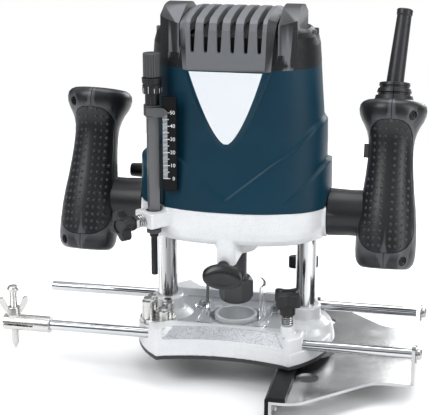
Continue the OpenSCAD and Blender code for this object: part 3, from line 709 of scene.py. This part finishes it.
def slot_cutter(x):
    """A slot that tapers downwards to a round end, cut from front to back."""
    foot = [polar(SLOT_FOOT_R, pi + pi * k / 8) for k in range(9)]
    outline = [(x + dx, SLOT_FOOT + dz) for dx, dz in foot]
    outline += [(x + SLOT_HALF, 254), (x + SLOT_HALF, 280), (x - SLOT_HALF, 280), (x - SLOT_HALF, 254)]
    return placed(prism(outline, -70, 70), spin(90, "X"))


def top_cap():
    obj = solid("top_cap_shell", loft([oval(a, b, z) for z, a, b in CAP_RINGS]))
    for x0, x1 in BLOCK_SPANS:
        block = solid("block", placed(prism(BLOCK, x0, x1), TO_YZ))
        around = prism([oval_point(62.4, 41.6, TAU * i / 160) for i in range(160)], 230, 275)
        carve(block, around, how="INTERSECT")
        weld(obj, taken(block))
    weld(obj, spine_slab(28.8, 3.6, 4.2))
    carve(obj, loft([oval(a - WALL, b - WALL, z, 96) for z, a, b in CAP_HOLLOW]),
          prism(rounded(61, 84, 3), 223, 257))
    for side in (-1, 1):
        carve(obj, box(side * LATCH_X - 6, -9, 243.5, side * LATCH_X + 6, 9, 247.5))
    bevel(obj, 0.7, 2, 30)
    for x in SLOT_X:
        carve(obj, slot_cutter(x))
    bevel(obj, 0.35, 1, 50)
    done(obj, "grey_plastic", "motor", "top_cap", sharp=9, weigh=False)
    for side, name in ((-1, "cap_clip_left"), (1, "cap_clip_right")):
        x = side * (LATCH_X - 1)
        clip = solid(name, box(x - 3.2, -7.5, 241.5, x + 3.2, 7.5, 250.2, 0.6))
        carve(clip, box(x - 6, -4.6, 246, x + 6, 4.6, 252))
        done(clip, "grey_plastic", "motor")
    baffle = solid("cap_baffle", prism(rounded(59, 76, 4), 225, 247.5, 0.8))
    carve(baffle, prism(rounded(51, 66, 3), 222, 244))
    done(baffle, "black_plastic", "motor")


top_cap()

# ---- front of the housing: label, scale, depth stop ----


SCALE_ZERO, SCALE_LENGTH = 142, 50
SCALE_FACE = -46.0
FIGURE_SIZE, FIGURE_DEPTH = 3.9, 0.08
STOP = at(*DEPTH_ROD)
BAR_TURN = 28
BAR_TOP = 196.5
DIAL = [(0, BAR_TOP), (5.3, BAR_TOP), (5.3, 204.6), (7, 205.2), (7.2, 211.5), (6.7, 211.8), (6.7, 212.4),
        (7.3, 212.8), (7.6, 217), (0, 217)]
POINTER = [(-59, 189.6), (-48, 188.7), (-45.6, 188.9), (-42.2, 192), (-45.6, 195), (-48, 195.6), (-59, 195)]
THIN_ROD = [(0, 64), (2.5, 64), (2.5, 94.4), (3.4, 94.8), (3.4, 97.5), (2.5, 98), (2.5, 104), (0, 104)]
DIAL_TICKS, FLUTES = 10, 20


def label_panel():
    """A blank plate with the raised panel's outline, standing a little proud of it."""
    low, high = SHIELD_TIP + 0.6, HOUSING_Z1 - 0.6
    heights = [low + (high - low) * (k / 40) ** 1.6 for k in range(41)]
    right = [(max(0, shield_half(z) - 0.2), z) for z in heights]
    outline = [p for p in right if p[0] > 0.4] + [(-x, z) for x, z in reversed(right) if x > 0.4]
    bm = prism(outline, 0, 0.9, 0.25)
    for v in bm.verts:
        x, z, out = v.co
        v.co = (x, shield_y(z) + 0.45 - out, z)
    piece("blank_label", closed_up(bm), "label", "motor", "label_panel")


def wall_text(text, x, z):
    """Raised figures on the scale's face, as a mesh."""
    curve = bpy.data.curves.new("figures", "FONT")
    curve.body = text
    curve.size = FIGURE_SIZE
    curve.extrude = FIGURE_DEPTH
    curve.offset = 0.02
    curve.align_x = "LEFT"
    curve.align_y = "CENTER"
    curve.resolution_u = 3
    obj = linked(bpy.data.objects.new("figures", curve))
    bpy.context.view_layer.update()
    mesh = bpy.data.meshes.new_from_object(obj.evaluated_get(bpy.context.evaluated_depsgraph_get()))
    bpy.data.objects.remove(obj)
    bm = bmesh.new()
    bm.from_mesh(mesh)
    bpy.data.meshes.remove(mesh)
    bmesh.ops.remove_doubles(bm, verts=bm.verts, dist=1e-4)
    return placed(bm, at(x, SCALE_FACE - 0.06, z) @ spin(90, "X"))


def depth_scale():
    rim = solid("scale_frame", box(-47.5, -46.5, 132.4, -36.6, -43.3, 203.6, 0.3))
    carve(rim, box(-47.1, -50, 132.9, -37, -45.9, 203.1), channel(120, 210, 8.5))
    bevel(rim, 0.15, 2, 32)
    done(rim, "scale_black", "motor")
    face = box(-47.2, SCALE_FACE - 0.05, 132.8, -36.9, -45.3, 203.2, 0.12)
    piece("scale_face", face, "scale_black", "motor", "scale_plate")
    marks = []
    for k in range(SCALE_LENGTH + 1):
        z = SCALE_ZERO + k
        long = 5.4 if k % 10 == 0 else 4.8 if k % 5 == 0 else 3.6
        thick = 0.36 if k % 5 == 0 else 0.26
        marks.append(box(-47.1, SCALE_FACE - 0.2, z - thick, -47.1 + long, SCALE_FACE, z + thick * 0.4))
    for k in range(0, SCALE_LENGTH + 1, 10):
        marks.append(wall_text(str(k), -41.5 if k else -39.9, SCALE_ZERO + k))
    piece("scale_marks", joined(*marks), "label", "motor", sharp=20)


def depth_stop():
    bar = prism(rounded(7.9, 7.9, 0.5, 2), 103.6, BAR_TOP, 0.3)
    turn = STOP @ spin(BAR_TURN)
    piece("depth_square_bar", placed(bar, turn), "bar_steel", "depth_stop", "depth_bar")
    clamp = prism(rounded(11.2, 11.2, 0.9, 3), 187.8, BAR_TOP - 0.1, 0.6)
    clamp = solid("depth_pointer_clamp", placed(clamp, turn))
    weld(clamp, placed(prism(POINTER, 46.5, 48.4, 0.3), spin(90, "X")))
    done(clamp, "bar_steel", "depth_stop", "depth_pointer")
    dial = placed(lathe(DIAL, 0.35, 72), STOP)
    piece("depth_dial", dial, "black_plastic", "depth_stop", "depth_ring")
    ticks = []
    for k in range(DIAL_TICKS):
        tick = box(-0.16, 7.1, 206, 0.16, 7.28, 209.5 if k % 5 else 211)
        ticks.append(placed(tick, STOP @ spin(360 / DIAL_TICKS * k + 172)))
    piece("depth_dial_marks", joined(*ticks), "label", "depth_stop", sharp=20)
    angles = [TAU * i / (FLUTES * 6) for i in range(FLUTES * 6)]
    outline = [polar(6.15 + 0.42 * abs(cos(a * FLUTES / 2)) ** 0.5, a) for a in angles]
    piece("fluted_cap", placed(prism(outline, 217.3, 235.1, 0.7, 3), STOP), "bar_steel", "fine_knob",
          "fine_adjust_knob", sharp=50)
    thin = joined(lathe(THIN_ROD, 0.4, 32), prism(hexagon(5.6, 0.3), 97.4, 101, 0.5))
    piece("thin_rod", placed(thin, STOP), "dark_steel", "fine_rod", "fine_adjust_rod")


label_panel()
depth_scale()
depth_stop()

# ---- handles ----

HANDLE_LENGTH = 127
# (height up the handle, radius)
PROFILE = [(0, 17.6), (1.2, 19.4), (3.5, 21.2), (7, 22.3), (12, 22.8), (20, 22.9), (34, 22.3), (46, 21.1),
           (58, 19.4), (70, 18.1), (80, 17.3), (90, 17), (97, 17.4), (102.5, 18.8), (107, 20.8),
           (111.5, 23.4), (115.5, 25), (119.5, 25.5), (122.8, 25), (125.1, 23.2), (126.5, 20.4),
           (HANDLE_LENGTH, 17)]
# (height, half width) of the rubber insert
GRIP_EDGE = [(12.3, 0), (12.6, 7), (14.2, 12), (17.5, 16.6), (22, 19.3), (28, 20.6), (40, 19.9), (58, 18),
             (76, 16.4), (90, 15.8), (98.5, 15.9), (104, 14.8), (108, 12.2), (110.6, 8), (111.2, 0)]
# (distance out, radius)
ARM = [(72.05, 0), (72.05, 17.6), (73, 18.3), (80, 18), (90, 17.6), (99, 17.9), (106, 18.4), (108, 0)]
MIDDLE = 60  # heights above this belong to the handle's upper half
SEAM_HALF = 0.22
SCREW_HEIGHTS = (115, 6.5)
SCREW_HEAD = [(0, -1), (3.5, -1), (3.5, 1), (1.6, 1), (1.6, 0.1), (0, 0.1)]
DOT = [(0, -0.5), (1.3, -0.5), (1.25, 0.1), (1, 0.5), (0.55, 0.75), (0, 0.85)]
DOT_START, DOT_PITCH, DOT_ROWS = 17.2, 5.45, 18
FOOT = at(117.5, -17, 73)
LEAN = spin(-16, "X")
HANDLE = FOOT @ LEAN
LEFT_HANDLE = Matrix.Scale(-1, 4, (1, 0, 0)) @ FOOT @ spin(-1.9, "Y") @ LEAN


def handle_solid(grow, steps=96):
    points = [(r + grow, t) for t, r in PROFILE]
    if grow < 0:
        points = [(r, min(max(t, -grow), HANDLE_LENGTH + grow)) for r, t in points]
    return turned([(0, points[0][1])] + points + [(0, points[-1][1])], steps)


def grip_prism(grow=0):
    """The insert's outline, carried towards -Y over the front half only."""
    side = [(half + grow if half else 0, t + (grow if t > MIDDLE else -grow) * (half < 17))
            for t, half in GRIP_EDGE]
    right = eased(side, 3, 3, closed=False)
    left = [(-x, t) for x, t in reversed(right) if x > 1e-6]
    return placed(prism(right + left, 0.5, 40), spin(90, "X"))


def grip_dots():
    """The raised dots of the grip, in rows that follow the handle."""
    dots = []
    for k in range(DOT_ROWS):
        t = DOT_START + DOT_PITCH * k
        radius = between(PROFILE, t) + 0.25
        room = between(GRIP_EDGE, t) - 2.3
        for n in range(1, 6):
            angle = (4.4 * n - 0.4) / radius
            if radius * sin(angle) > room or angle > 1.35:
                continue
            for side in (-1, 1):
                turn = Matrix.Rotation(side * angle, 4, "Z") @ at(0, -radius, t) @ spin(90, "X")
                dots.append(placed(turned(DOT, 12), turn))
    return joined(*dots)


def handle(side):
    """Both shells, the grip, the arm and the screws of one handle."""
    name, where = ("right", HANDLE) if side > 0 else ("left", LEFT_HANDLE)
    shell = solid(name + "_shell", handle_solid(0))
    for y0, y1 in ((-40, -16.2), (16.2, 40)):
        carve(shell, box(-SEAM_HALF, y0, -5, SEAM_HALF, y1, 140))
    grip = solid(name + "_rubber_grip", handle_solid(0.25))
    carve(grip, grip_prism(), how="INTERSECT")
    carve(grip, handle_solid(-2.4))
    bevel(grip, 0.35)
    carve(shell, grip_prism(0.45), handle_solid(-3, 64))
    bed = solid(name + "_grip_bed", handle_solid(-2, 64))
    carve(bed, grip_prism(1), how="INTERSECT")
    carve(bed, handle_solid(-3.2, 64))
    for t, end in zip(SCREW_HEIGHTS, ("top", "foot")):
        spot = spin(-50) @ at(between(PROFILE, t) - 2.2, 0, t) @ spin(90, "Y")
        carve(shell, placed(rod(3.7, 0, 8, steps=32), spot))
        piece(f"{name}_shell_screw_{end}", placed(lathe(SCREW_HEAD, 0.25, 32), where @ spot),
              "dark_steel", "motor")
    shell_mesh = taken(shell)
    halves = []
    for half, end in ((-1, "inner"), (1, "outer")):
        part = solid(f"{name}_handle_shell_{end}", shell_mesh.copy())
        carve(part, box(0 if half < 0 else -60, -60, -20, 60 if half < 0 else 0, 60, 160))
        bevel(part, 0.3, 1, 50)
        halves.append(part)
    shell_mesh.free()
    for part in (*halves, grip, bed):
        part.data.transform(where)
        if side < 0:
            part.data.flip_normals()
    arm = solid(name + "_arm", placed(turned([(r, x) for x, r in ARM], 72), along_x(0, ARM_Z, side)))
    carve(arm, placed(handle_solid(-1, 64), where))
    bevel(arm, 0.4)
    done(arm, "handle_plastic", "motor", sharp=35)
    for part, end in zip(halves, ("inner", "outer")):
        done(part, "handle_plastic", "motor", f"{name}_handle_{end}", sharp=35)
    done(bed, "black_plastic", "motor")
    done(grip, "handle_plastic", "motor", name + "_grip", sharp=35)
    piece(name + "_grip_dots", placed(grip_dots(), where), "handle_plastic", "motor", sharp=60)


handle(1)
handle(-1)

# ---- carriage ----

# (height, half width, half depth)
CARRIAGE_RINGS = ((90, 60, 35), (90.4, 65, 40), (92.2, 68.4, 43.2), (96, 70.8, 45.6), (102, 72.5, 47.2),
                  (110, 73.3, 48), (118, 73.5, 48.3))
NOSE = [(0, 76), (15.8, 76), (17, 77.4), (17, 88)]
LUG_TURN = 53
DEPTH_CLAMP = at(*DEPTH_ROD, 109.1) @ spin(LUG_TURN + 180) @ spin(90, "Y")
LOCK_Z = 78  # the spindle lock's bore


def lock_housing(top):
    """The upright block in front of the spindle that holds the lock button."""
    return prism(rounded(15, 38, 7.2, cy=-28.5), 75.6, top)


def carriage():
    obj = solid("carriage_casting", loft([oval(a, b, z, 120) for z, a, b in CARRIAGE_RINGS]))
    for side in (-1, 1):
        weld(obj, placed(rod(19.5, 56, 72, steps=72), along_x(0, ARM_Z, side)),
              turned_at([(0, 89), (12.6, 89), (13.4, 91), (13.4, 96), (0, 96)], side * COLUMN_X, 0))
    lug = prism(rounded(24.5, 21, 1.5), 103.5, 115.5, 0.6)
    weld(obj, placed(lug, at(*DEPTH_ROD) @ spin(LUG_TURN) @ at(1.75)),
          prism(rounded(21, 18, 4, cx=-66, cy=30), 98, 118),
          turned(NOSE + [(18.6, 90), (0, 92)], 72), lock_housing(95))
    carve(obj, box(-90, -70, HOUSING_Z0, 90, 70, 140), rod(28.5, 80, 97, steps=72))
    weld(obj, turned(NOSE + [(20, 92), (20, 100), (0, 100)], 72), lock_housing(98))
    cast(obj, 0.8, 4)
    carve(obj, rod(9.6, 60, 130), rod(11, 80, 117, COLUMN_X), rod(11, 80, 117, -COLUMN_X),
          rod(6.1, 80, 130, *DEPTH_ROD), placed(rod(2.2, 9.6, 60), at(0, 0, LOCK_Z) @ spin(90, "X")),
          placed(rod(3.1, 5, 30), DEPTH_CLAMP))
    done(obj, "base_paint", "motor", "carriage", sharp=45, weigh=False)


carriage()

# ---- base ----

CORNER = (50, 57.5)
WAIST_R, WAIST_Y = 160.25, 209.75
BASE_R = 78.0
# (height, distance in from the outline)
RIM = ((3, 0), (12.6, 0), (12.6 + 0.6, 0.6))
SLOPE = ((6, 0.3), (16.4, 0.3), (24.6, 7.8), (25.2, 9.2))
CORNER_BLOCK = ((6, 0.3), (24.4, 0.3), (25, 0.9))
# (height, scale) of the flat round the opening
PLATEAU = ((6, 1), (17.6, 0.995), (18, 0.99))
COLUMN_FOOT = [(0, 5), (23.6, 5), (23.6, 9), (22.4, 14), (19.5, 18.6), (16, 21), (12.9, 22.2), (12.5, 23),
               (12.5, 32.4), (11.4, 33.4), (0, 33.4)]
CLAMP_BOSS = [(0, 10), (6.2, 10), (5.5, 24), (5.3, 31), (0, 31)]
LEFT_OUT, RIGHT_OUT = (-90, -90, 0, -60, 90, 60), (60, -90, 0, 90, 90, 60)


def base_outline(draw=0):
    """The round base with its front and back hollowed out, drawn in by a little."""
    top = atan2(CORNER[1], CORNER[0])
    arc = [polar(BASE_R - draw, -top + 2 * top * k / 40) for k in range(41)]
    waist_r = WAIST_R + draw
    reach = asin((CORNER[0] - draw) / waist_r)
    waist = []
    for k in range(1, 32):
        a = reach - 2 * reach * k / 32
        waist.append((waist_r * sin(a), WAIST_Y - waist_r * cos(a)))
    return arc + waist + [(-x, -y) for x, y in arc + waist]


def base_loft(levels):
    return loft([[(x, y, z) for x, y in base_outline(draw)] for z, draw in levels])


def base():
    obj = solid("base_casting_body", base_loft(RIM))
    walls = solid("walls", base_loft(SLOPE))
    carve(walls, box(-80, -37, 0, 80, 37, 60), box(*RIGHT_OUT), box(*LEFT_OUT))
    corners = solid("corners", base_loft(CORNER_BLOCK))
    carve(corners, box(-90, -37, 0, 90, 37, 60), box(-47.4, -90, 0, 47.4, 90, 60), box(*RIGHT_OUT),
          box(*LEFT_OUT))
    plateau = loft([[(x * k, y * k, z) for x, y in rounded(119, 80, 3)] for z, k in PLATEAU])
    weld(obj, taken(walls), taken(corners), plateau)
    for side in (-1, 1):
        weld(obj, turned_at(COLUMN_FOOT, side * COLUMN_X, 0, 96),
             turned_at(CLAMP_BOSS, CLAMP_X, side * ROD_Y))
    weld(obj, rod(15.2, 6, 21.6, *TURRET, 64))
    cast(obj, 0.6, 2)
    carve(obj, rod(22, -5, 60, steps=96), rod(14.8, 22, 34, *TURRET, 64), box(-80, -80, -5, 80, 80, 3.02))
    for side in (-1, 1):
        carve(obj, rod(8.05, 6, 60, side * COLUMN_X),
              placed(rod(4.1, -100, 100, steps=32), along_x(side * ROD_Y, ROD_Z)),
              rod(3.1, 20, 60, CLAMP_X, side * ROD_Y, 32))
    done(obj, "base_paint", "base", "base_casting", sharp=45, weigh=False)
    obj.data.materials.append(MATERIALS["slope_shade_and_speckle"])
    obj.data.materials.append(MATERIALS["recess_shade"])
    for face in obj.data.polygons:
        x, y, z = face.center / MM
        # painted shade: the sloping faces take the darker speckled slope material
        if abs(y) > 36 and 16.5 < z < 24.7 and 0.3 < face.normal.z < 0.95 and abs(x) < 47.8:
            face.material_index = 1
        # painted shade: the flat round the opening takes the darker recess material
        elif abs(y) < 41 and 17.6 < z < 18.2 and face.normal.z > 0.95:
            face.material_index = 2
    sole = solid("sole_sheet", prism(base_outline(), 0, 3, 0.35))
    carve(sole, rod(17.5, -5, 10, steps=64))
    done(sole, "sole", "base", "sole_plate")


base()

# ---- knobs ----

LOBES, VALLEY, LOBE_POWER = 4, 0.58, 1.25


def lobed(r, steps=96):
    out = []
    for a in (TAU * i / steps for i in range(steps)):
        share = (0.5 + 0.5 * cos(LOBES * a)) ** LOBE_POWER
        out.append(polar(r * (VALLEY + (1 - VALLEY) * share), a))
    return out


def star_knob(name, r, hub, z0, z1, thick, matrix, body):
    """A moulded knob: a hub, lobes with a dished top, and a sunk ring."""
    obj = solid(name, prism(lobed(r), z1 - thick, z1, 1.3, 4))
    under = z1 - thick + 1
    weld(obj, lathe([(0, z0), (hub, z0), (hub * 1.04, under), (0, under)], 0.5, 48))
    carve(obj, turned([(0, z1 - 1), (hub * 0.78, z1 - 1), (hub * 0.9, z1 + 1), (0, z1 + 1)], 48),
          rod(3.05, z0 - 1, z0 + 8, steps=32))
    bevel(obj, 0.35)
    obj.data.transform(matrix)
    done(obj, "black_plastic", body, body + "_knob", sharp=35)


for side, turn, body in ((-1, 57, "front_clamp"), (1, 14, "rear_clamp")):
    star_knob(body + "_star", 12.2, 5.9, 40, 58, 10.2, at(CLAMP_X, side * ROD_Y) @ spin(turn), body)
star_knob("depth_clamp_star", 11.8, 5.8, 20.5, 34.5, 8.6, DEPTH_CLAMP @ spin(26), "depth_clamp")
piece("depth_clamp_spring", placed(coil(4.3, 1.1, 3.2, 10.7, 17.7), DEPTH_CLAMP), "spring", "depth_clamp")
coils = [placed(coil(4.1, 1.1, 4.5, 31, 39.8), at(CLAMP_X, side * ROD_Y)) for side in (-1, 1)]
piece("clamp_springs_coils", joined(*coils), "spring", "base", "clamp_springs")

# ---- turret ----


def turret():
    """Four posts, each 2.5 mm taller than the one before, on a disc that clicks round in quarter turns."""
    where = at(*TURRET, 22.2)
    obj = solid("turret_stop_body", puck(14, 0, 3.2, 0.5, 96))
    heads = []
    for k in range(4):
        top = 10 + 2.5 * k
        post = spin(-45 + 90 * k) @ at(9)
        weld(obj, placed(puck(4.7, 0, top, 0.5, 40), post))
        heads.append(placed(prism(hexagon(3.6, 0.2 * k), top - 0.05, top + 2.4, 0.35), where @ post))
    weld(obj, rod(5.2, 0, 6.2, steps=40))
    for k in range(16):
        carve(obj, placed(rod(1.3, -1, 2.6, steps=16), spin(22.5 * k) @ at(14.8)))
    bevel(obj, 0.25)
    obj.data.transform(where)
    done(obj, "nickel", "turret", "turret_stop", sharp=35)
    piece("turret_hex_heads", joined(*heads), "zinc", "turret", "turret_screws")
    head = [(0, 28.5), (4.2, 28.5), (4.2, 30.7), (1.4, 30.7), (1.2, 30), (0, 30)]
    piece("turret_pivot_head", placed(lathe(head, 0.3, 40), at(*TURRET)), "zinc", "base", "turret_pivot")


turret()

# ---- spindle lock, collet nut, guide ring, chip guard ----

# (distance out, half width, half height, height of the middle) of the lock button's dished pad
PAD = ((0, 14.6, 8, 70.2), (0.3, 15.6, 9, 70.3), (1.2, 16, 9.4, 70.4), (2.6, 15.9, 9.2, 69.6),
       (4.4, 15.2, 8.2, 68.6), (5.3, 13.8, 6.8, 68), (5.6, 12, 5.4, 67.8), (5.4, 9.5, 4.2, 67.8),
       (5.1, 5, 2.2, 67.8))
PAD_Y = -51.2
NUT = [(0, 31.6), (9.2, 31.6), (12, 33), (13.95, 36.6), (13.95, 48.8), (11.2, 52), (0, 52)]
GUIDE = [(14.6, 0), (17, 0), (17, 3.05), (24.9, 3.05), (24.9, 6), (17.2, 6.1), (17, 20.8), (14.6, 20.8),
         (14.6, 0)]
GUARD_Z0, GUARD_Z1 = 18.05, 20.4
EAR_X, EAR_Y = 30, 17
GUARD_WALL = [(21.7, 18.1), (23.9, 18.1), (23.9, 46.9), (21.7, 46.9), (21.7, 18.1)]
GUARD_WASHER = [(2.1, 20.45), (4.4, 20.45), (4.4, 21.2), (2.1, 21.2), (2.1, 20.45)]
GUARD_SCREW = [(0, 21.2), (3.3, 21.2), (3.2, 22.4), (2.2, 23.5), (1, 23.7), (0.9, 22.8), (0, 22.8)]


def spindle_lock():
    rings = []
    for out, w, h, middle in PAD:
        angles = [TAU * i / 72 for i in range(72)]
        rings.append([(w * cos(a), PAD_Y - out, middle + h * sin(a)) for a in angles])
    obj = solid("spindle_lock_pad", loft(rings))
    stem = placed(rod(2, 13.6, 52, steps=32), at(0, 0, LOCK_Z) @ spin(90, "X"))
    top = placed(rod(5, 51.15, 52.2, steps=32), at(0, 0, LOCK_Z - 1) @ spin(90, "X"))
    weld(obj, stem, top)
    done(obj, "gloss_black", "lock_button", "spindle_lock", sharp=40)


def collet_nut():
    obj = solid("hex_collet_nut", prism(hexagon(13.86), 31.6, 52))
    carve(obj, lathe(NUT, 0.8, 96), how="INTERSECT")
    carve(obj, turned([(0, 30), (6.5, 30), (6.5, 41), (8.55, 41), (8.55, 60), (0, 60)], 48))
    bevel(obj, 0.3, 2, 28)
    done(obj, "dark_steel", "rotor", "collet_nut", sharp=30)


def chip_guard():
    obj = solid("clear_chip_guard", prism(rounded(56, 46, 5, cy=-1), GUARD_Z0, GUARD_Z1, 0.5))
    heads = []
    for side in (-1, 1):
        x = side * EAR_X
        ear = prism(rounded(14, 12, 5.8, cx=x, cy=EAR_Y), GUARD_Z0, GUARD_Z1, 0.4)
        weld(obj, ear)
        heads += [placed(lathe(GUARD_WASHER, 0.15, 40), at(x, EAR_Y)),
                  placed(lathe(GUARD_SCREW, 0.2, 40), at(x, EAR_Y))]
    wall = solid("wall", lathe(GUARD_WALL, 0.5, 96))
    carve(wall, box(-40, -60, GUARD_Z1, 40, -8, 60))
    weld(obj, taken(wall))
    carve(obj, rod(21.6, 10, 21, steps=96),
          *[rod(2.2, 10, 30, side * EAR_X, EAR_Y, 24) for side in (-1, 1)])
    bevel(obj, 0.3)
    done(obj, "clear", "base", "chip_guard", sharp=35)
    piece("guard_screw_heads", joined(*heads), "zinc", "base", "guard_screws")


spindle_lock()
collet_nut()
piece("bit_guide_ring", lathe(GUIDE, 0.3, 96), "base_paint", "base", "template_guide", sharp=40)
chip_guard()

# ---- fence and trammel ----

PLATE_Z0, PLATE_Z1 = -6.2, -4.0
# the rear half of the plate's outline, and the radius of each corner
PLATE_EDGE = [(44, 106), (56, 106), (66, 103), (113, 58), (122, 55.5), (142.5, 55.5)]
PLATE_CORNERS = [0, 3, 5, 5, 6, 0]
END_PLATE_Z = 10.3
FACING_SPAN = (22, 106)
STRIP_Y, STRIP_Z = (34, 92), -14
# (x, z)
FACING = [(41, -22), (44, -22), (44, -4), (56, -4), (56, -0.6), (43, -0.6), (41, -2.6)]
FACING_BORE = [(0, 40), (4, 40), (4, 42.6), (2, 42.6), (2, 50), (0, 50)]
END_HEAD = [(0, 146.2), (4.4, 146.2), (4.2, 148.4), (3, 149.5), (1.4, 149.6), (1.3, 148.4), (0, 148.4)]
FACING_SCREW = [(0, 42.4), (0.9, 42.4), (1, 41.5), (3.6, 41.5), (3.8, 42.5), (2, 43.4), (2, 48.6),
                (0, 48.6)]
TRAMMEL_X = -171.4
NUT_HUB = [(0, 0), (5.8, 0), (4.7, 5.6), (4.2, 6), (0, 6)]
PIN = [(0, -6.95), (0.5, -6.6), (2.9, -1.2), (2.95, 26), (2.75, 26.4), (2.75, 42.6), (4.6, 43.2), (4.7, 44.8),
       (3.4, 46.6), (0, 47.3)]
THREAD_Z0, THREADS = 24, 18
WING = [(3.4, 0.6), (6.4, 1), (11.4, 9.5), (11.3, 13.2), (9.6, 14), (7.4, 13.2), (4.4, 5.6)]


def fence():
    back = eased(PLATE_EDGE, PLATE_CORNERS, 5, closed=False)
    obj = solid("fence_bracket", prism(back + [(x, -y) for x, y in reversed(back)], PLATE_Z0, PLATE_Z1))
    carve(obj, prism(rounded(44, 42, 3, cx=40), -30, 10), rod(22, -30, 10, 61, 0, 72))
    near, far = FACING_SPAN
    for side in (-1, 1):
        carve(obj, rod(8.5, -30, 10, 66, side * 59, 64))
        weld(obj, box(44, min(side * near, side * far), -20, 46.2, max(side * near, side * far), PLATE_Z1))
    weld(obj, placed(prism(rounded(111, 33, 4), 142.4, 145), at(0, 0, END_PLATE_Z) @ TO_YZ))
    fasteners = []
    for side in (-1, 1):
        end = along_x(side * ROD_Y, ROD_Z)
        spots = [along_x(side * y, STRIP_Z) for y in STRIP_Y]
        carve(obj, placed(rod(2.6, 140, 150, steps=24), end),
              *[placed(rod(2, 40, 50, steps=20), spot) for spot in spots])
        screw = (puck(7, 145, 146.2, 0.3, 48), lathe(END_HEAD, 0.3, 40), rod(2.6, 141, 145.1, steps=24))
        fasteners += [placed(bm, end) for bm in screw]
        for spot in spots:
            fasteners += [placed(lathe(FACING_SCREW, 0.15, 24), spot),
                          placed(prism(hexagon(3.8), 46.2, 48.4, 0.3), spot)]
    bevel(obj, 0.7, 3, 40)
    done(obj, "zinc", "fence", "fence_plate", sharp=35)
    for side, end, node in ((-1, "front", "fence_facing"), (1, "back", None)):
        upright = Matrix(((1, 0, 0, 0), (0, 0, side, 0), (0, 1, 0, 0), (0, 0, 0, 1)))
        facing = solid("fence_face_strip_" + end, placed(prism(FACING, near, far, 0.3), upright))
        for y in STRIP_Y:
            carve(facing, placed(turned(FACING_BORE, 24), along_x(side * y, STRIP_Z)))
        bevel(facing, 0.4)
        done(facing, "scale_black", "fence", node, sharp=35)
    piece("fence_fasteners", joined(*fasteners), "zinc", "fence", "fence_screws")


def trammel():
    where, lying = at(0, -ROD_Y, ROD_Z), along_x(-ROD_Y, ROD_Z)
    obj = solid("trammel_tube", placed(puck(6.5, -179.5, -141, 0.7), lying))
    weld(obj, placed(rod(5.4, 0, 7.2, steps=40), where @ at(TRAMMEL_X)))
    carve(obj, placed(rod(4.05, -161, -140, steps=32), lying),
          placed(rod(3, -12, 20, steps=32), where @ at(TRAMMEL_X)),
          placed(box(-180, -8, -0.9, -154, 0, 0.9), where))
    bevel(obj, 0.3)
    done(obj, "nickel", "trammel", "trammel_sleeve", sharp=35)
    threads = []
    for z in range(THREAD_Z0, THREAD_Z0 + THREADS):
        threads.append(turned([(2.7, z), (2.98, z + 0.5), (2.7, z + 1), (2.7, z)], 32))
    pin = joined(lathe(PIN, 0.3, 40), *threads)
    piece("trammel_point_pin", placed(pin, at(TRAMMEL_X, -ROD_Y)), "nickel", "trammel", "trammel_pin")
    nut = solid("wing_nut_body", lathe(NUT_HUB, 0.4, 48))
    for side in (-1, 1):
        wing = prism([(side * x, z) for x, z in eased(WING, 1.6, 4)], -1.1, 1.1, 0.5)
        weld(nut, placed(wing, spin(90, "X")))
    carve(nut, rod(3.05, -1, 10, steps=32))
    bevel(nut, 0.3, 2, 45)
    nut.data.transform(at(TRAMMEL_X, -ROD_Y, 23.4) @ spin(20))
    done(nut, "nickel", "wing", "wing_nut", sharp=40)


fence()
trammel()

# ---- cord outlet, plunge lock ----

COLLAR_TOP = 140.4
COLLAR = [(7, 119), (7, COLLAR_TOP), (11.4, COLLAR_TOP), (11.9, 138), (11.2, 137.7), (11.2, 136.2),
          (12.3, 136), (13.2, 132.8), (12.2, 132.5), (12.2, 130.9), (13.9, 130.6), (14.9, 127.05), (14.9, 126),
          (7, 119)]
SLEEVE = [(3.7, -18), (6.5, -18), (6.6, 1), (5.5, 51.2), (6, 51.8), (6.1, 55.6), (5.6, 56.3), (3.7, 56.3),
          (3.7, -18)]
LEVER = [(-8, -5), (-3, -8.5), (4, -8.2), (21, -5), (26, -1.5), (26, 3.5), (21, 6), (4, 8.2), (-3, 8.5),
         (-8, 5)]
LEVER_END = [(0, 12), (6, 12), (5.4, 27.2), (0, 27.2)]


def cord_outlet():
    obj = solid("ribbed_collar", lathe(COLLAR, 0.25, 72))
    carve(obj, box(-0.25, -20, 126, 0.25, -6, 150))
    bevel(obj, 0.2, 1, 45)
    obj.data.transform(HANDLE)
    done(obj, "rubber", "motor", "cord_collar", sharp=40)
    relief = HANDLE @ at(0, 0, COLLAR_TOP) @ spin(-1.2, "X") @ spin(4.6, "Y")
    piece("cord_sleeve", placed(lathe(SLEEVE, 0.35, 48), relief), "rubber", "motor",
          "strain_relief", sharp=40)


def plunge_lock():
    obj = solid("plunge_lock_handle", prism(eased(LEVER, 3, 4), 11.4, 17, 0.8, 3))
    weld(obj, placed(lathe(LEVER_END, 1.2, 40), at(19, 0.4)))
    carve(obj, rod(4.1, 5, 30, steps=32))
    bevel(obj, 0.4)
    obj.data.transform(at(-66, 30, 108) @ spin(-90, "Y"))
    done(obj, "black_plastic", "lock_lever", "plunge_lock_lever", sharp=35)


cord_outlet()
plunge_lock()

# ---- carried-over nodes ----

for item in frame["record"]["subparts"]:
    node = frame["nodes"][item["node"]]
    if node.hide_render:
        continue
    node.data.materials.clear()
    # the guide columns get the chrome with painted vertical reflection bands
    look = "column" if item["node"] == "guide_columns" else item["material_slot"]
    node.data.materials.append(MATERIALS[look])
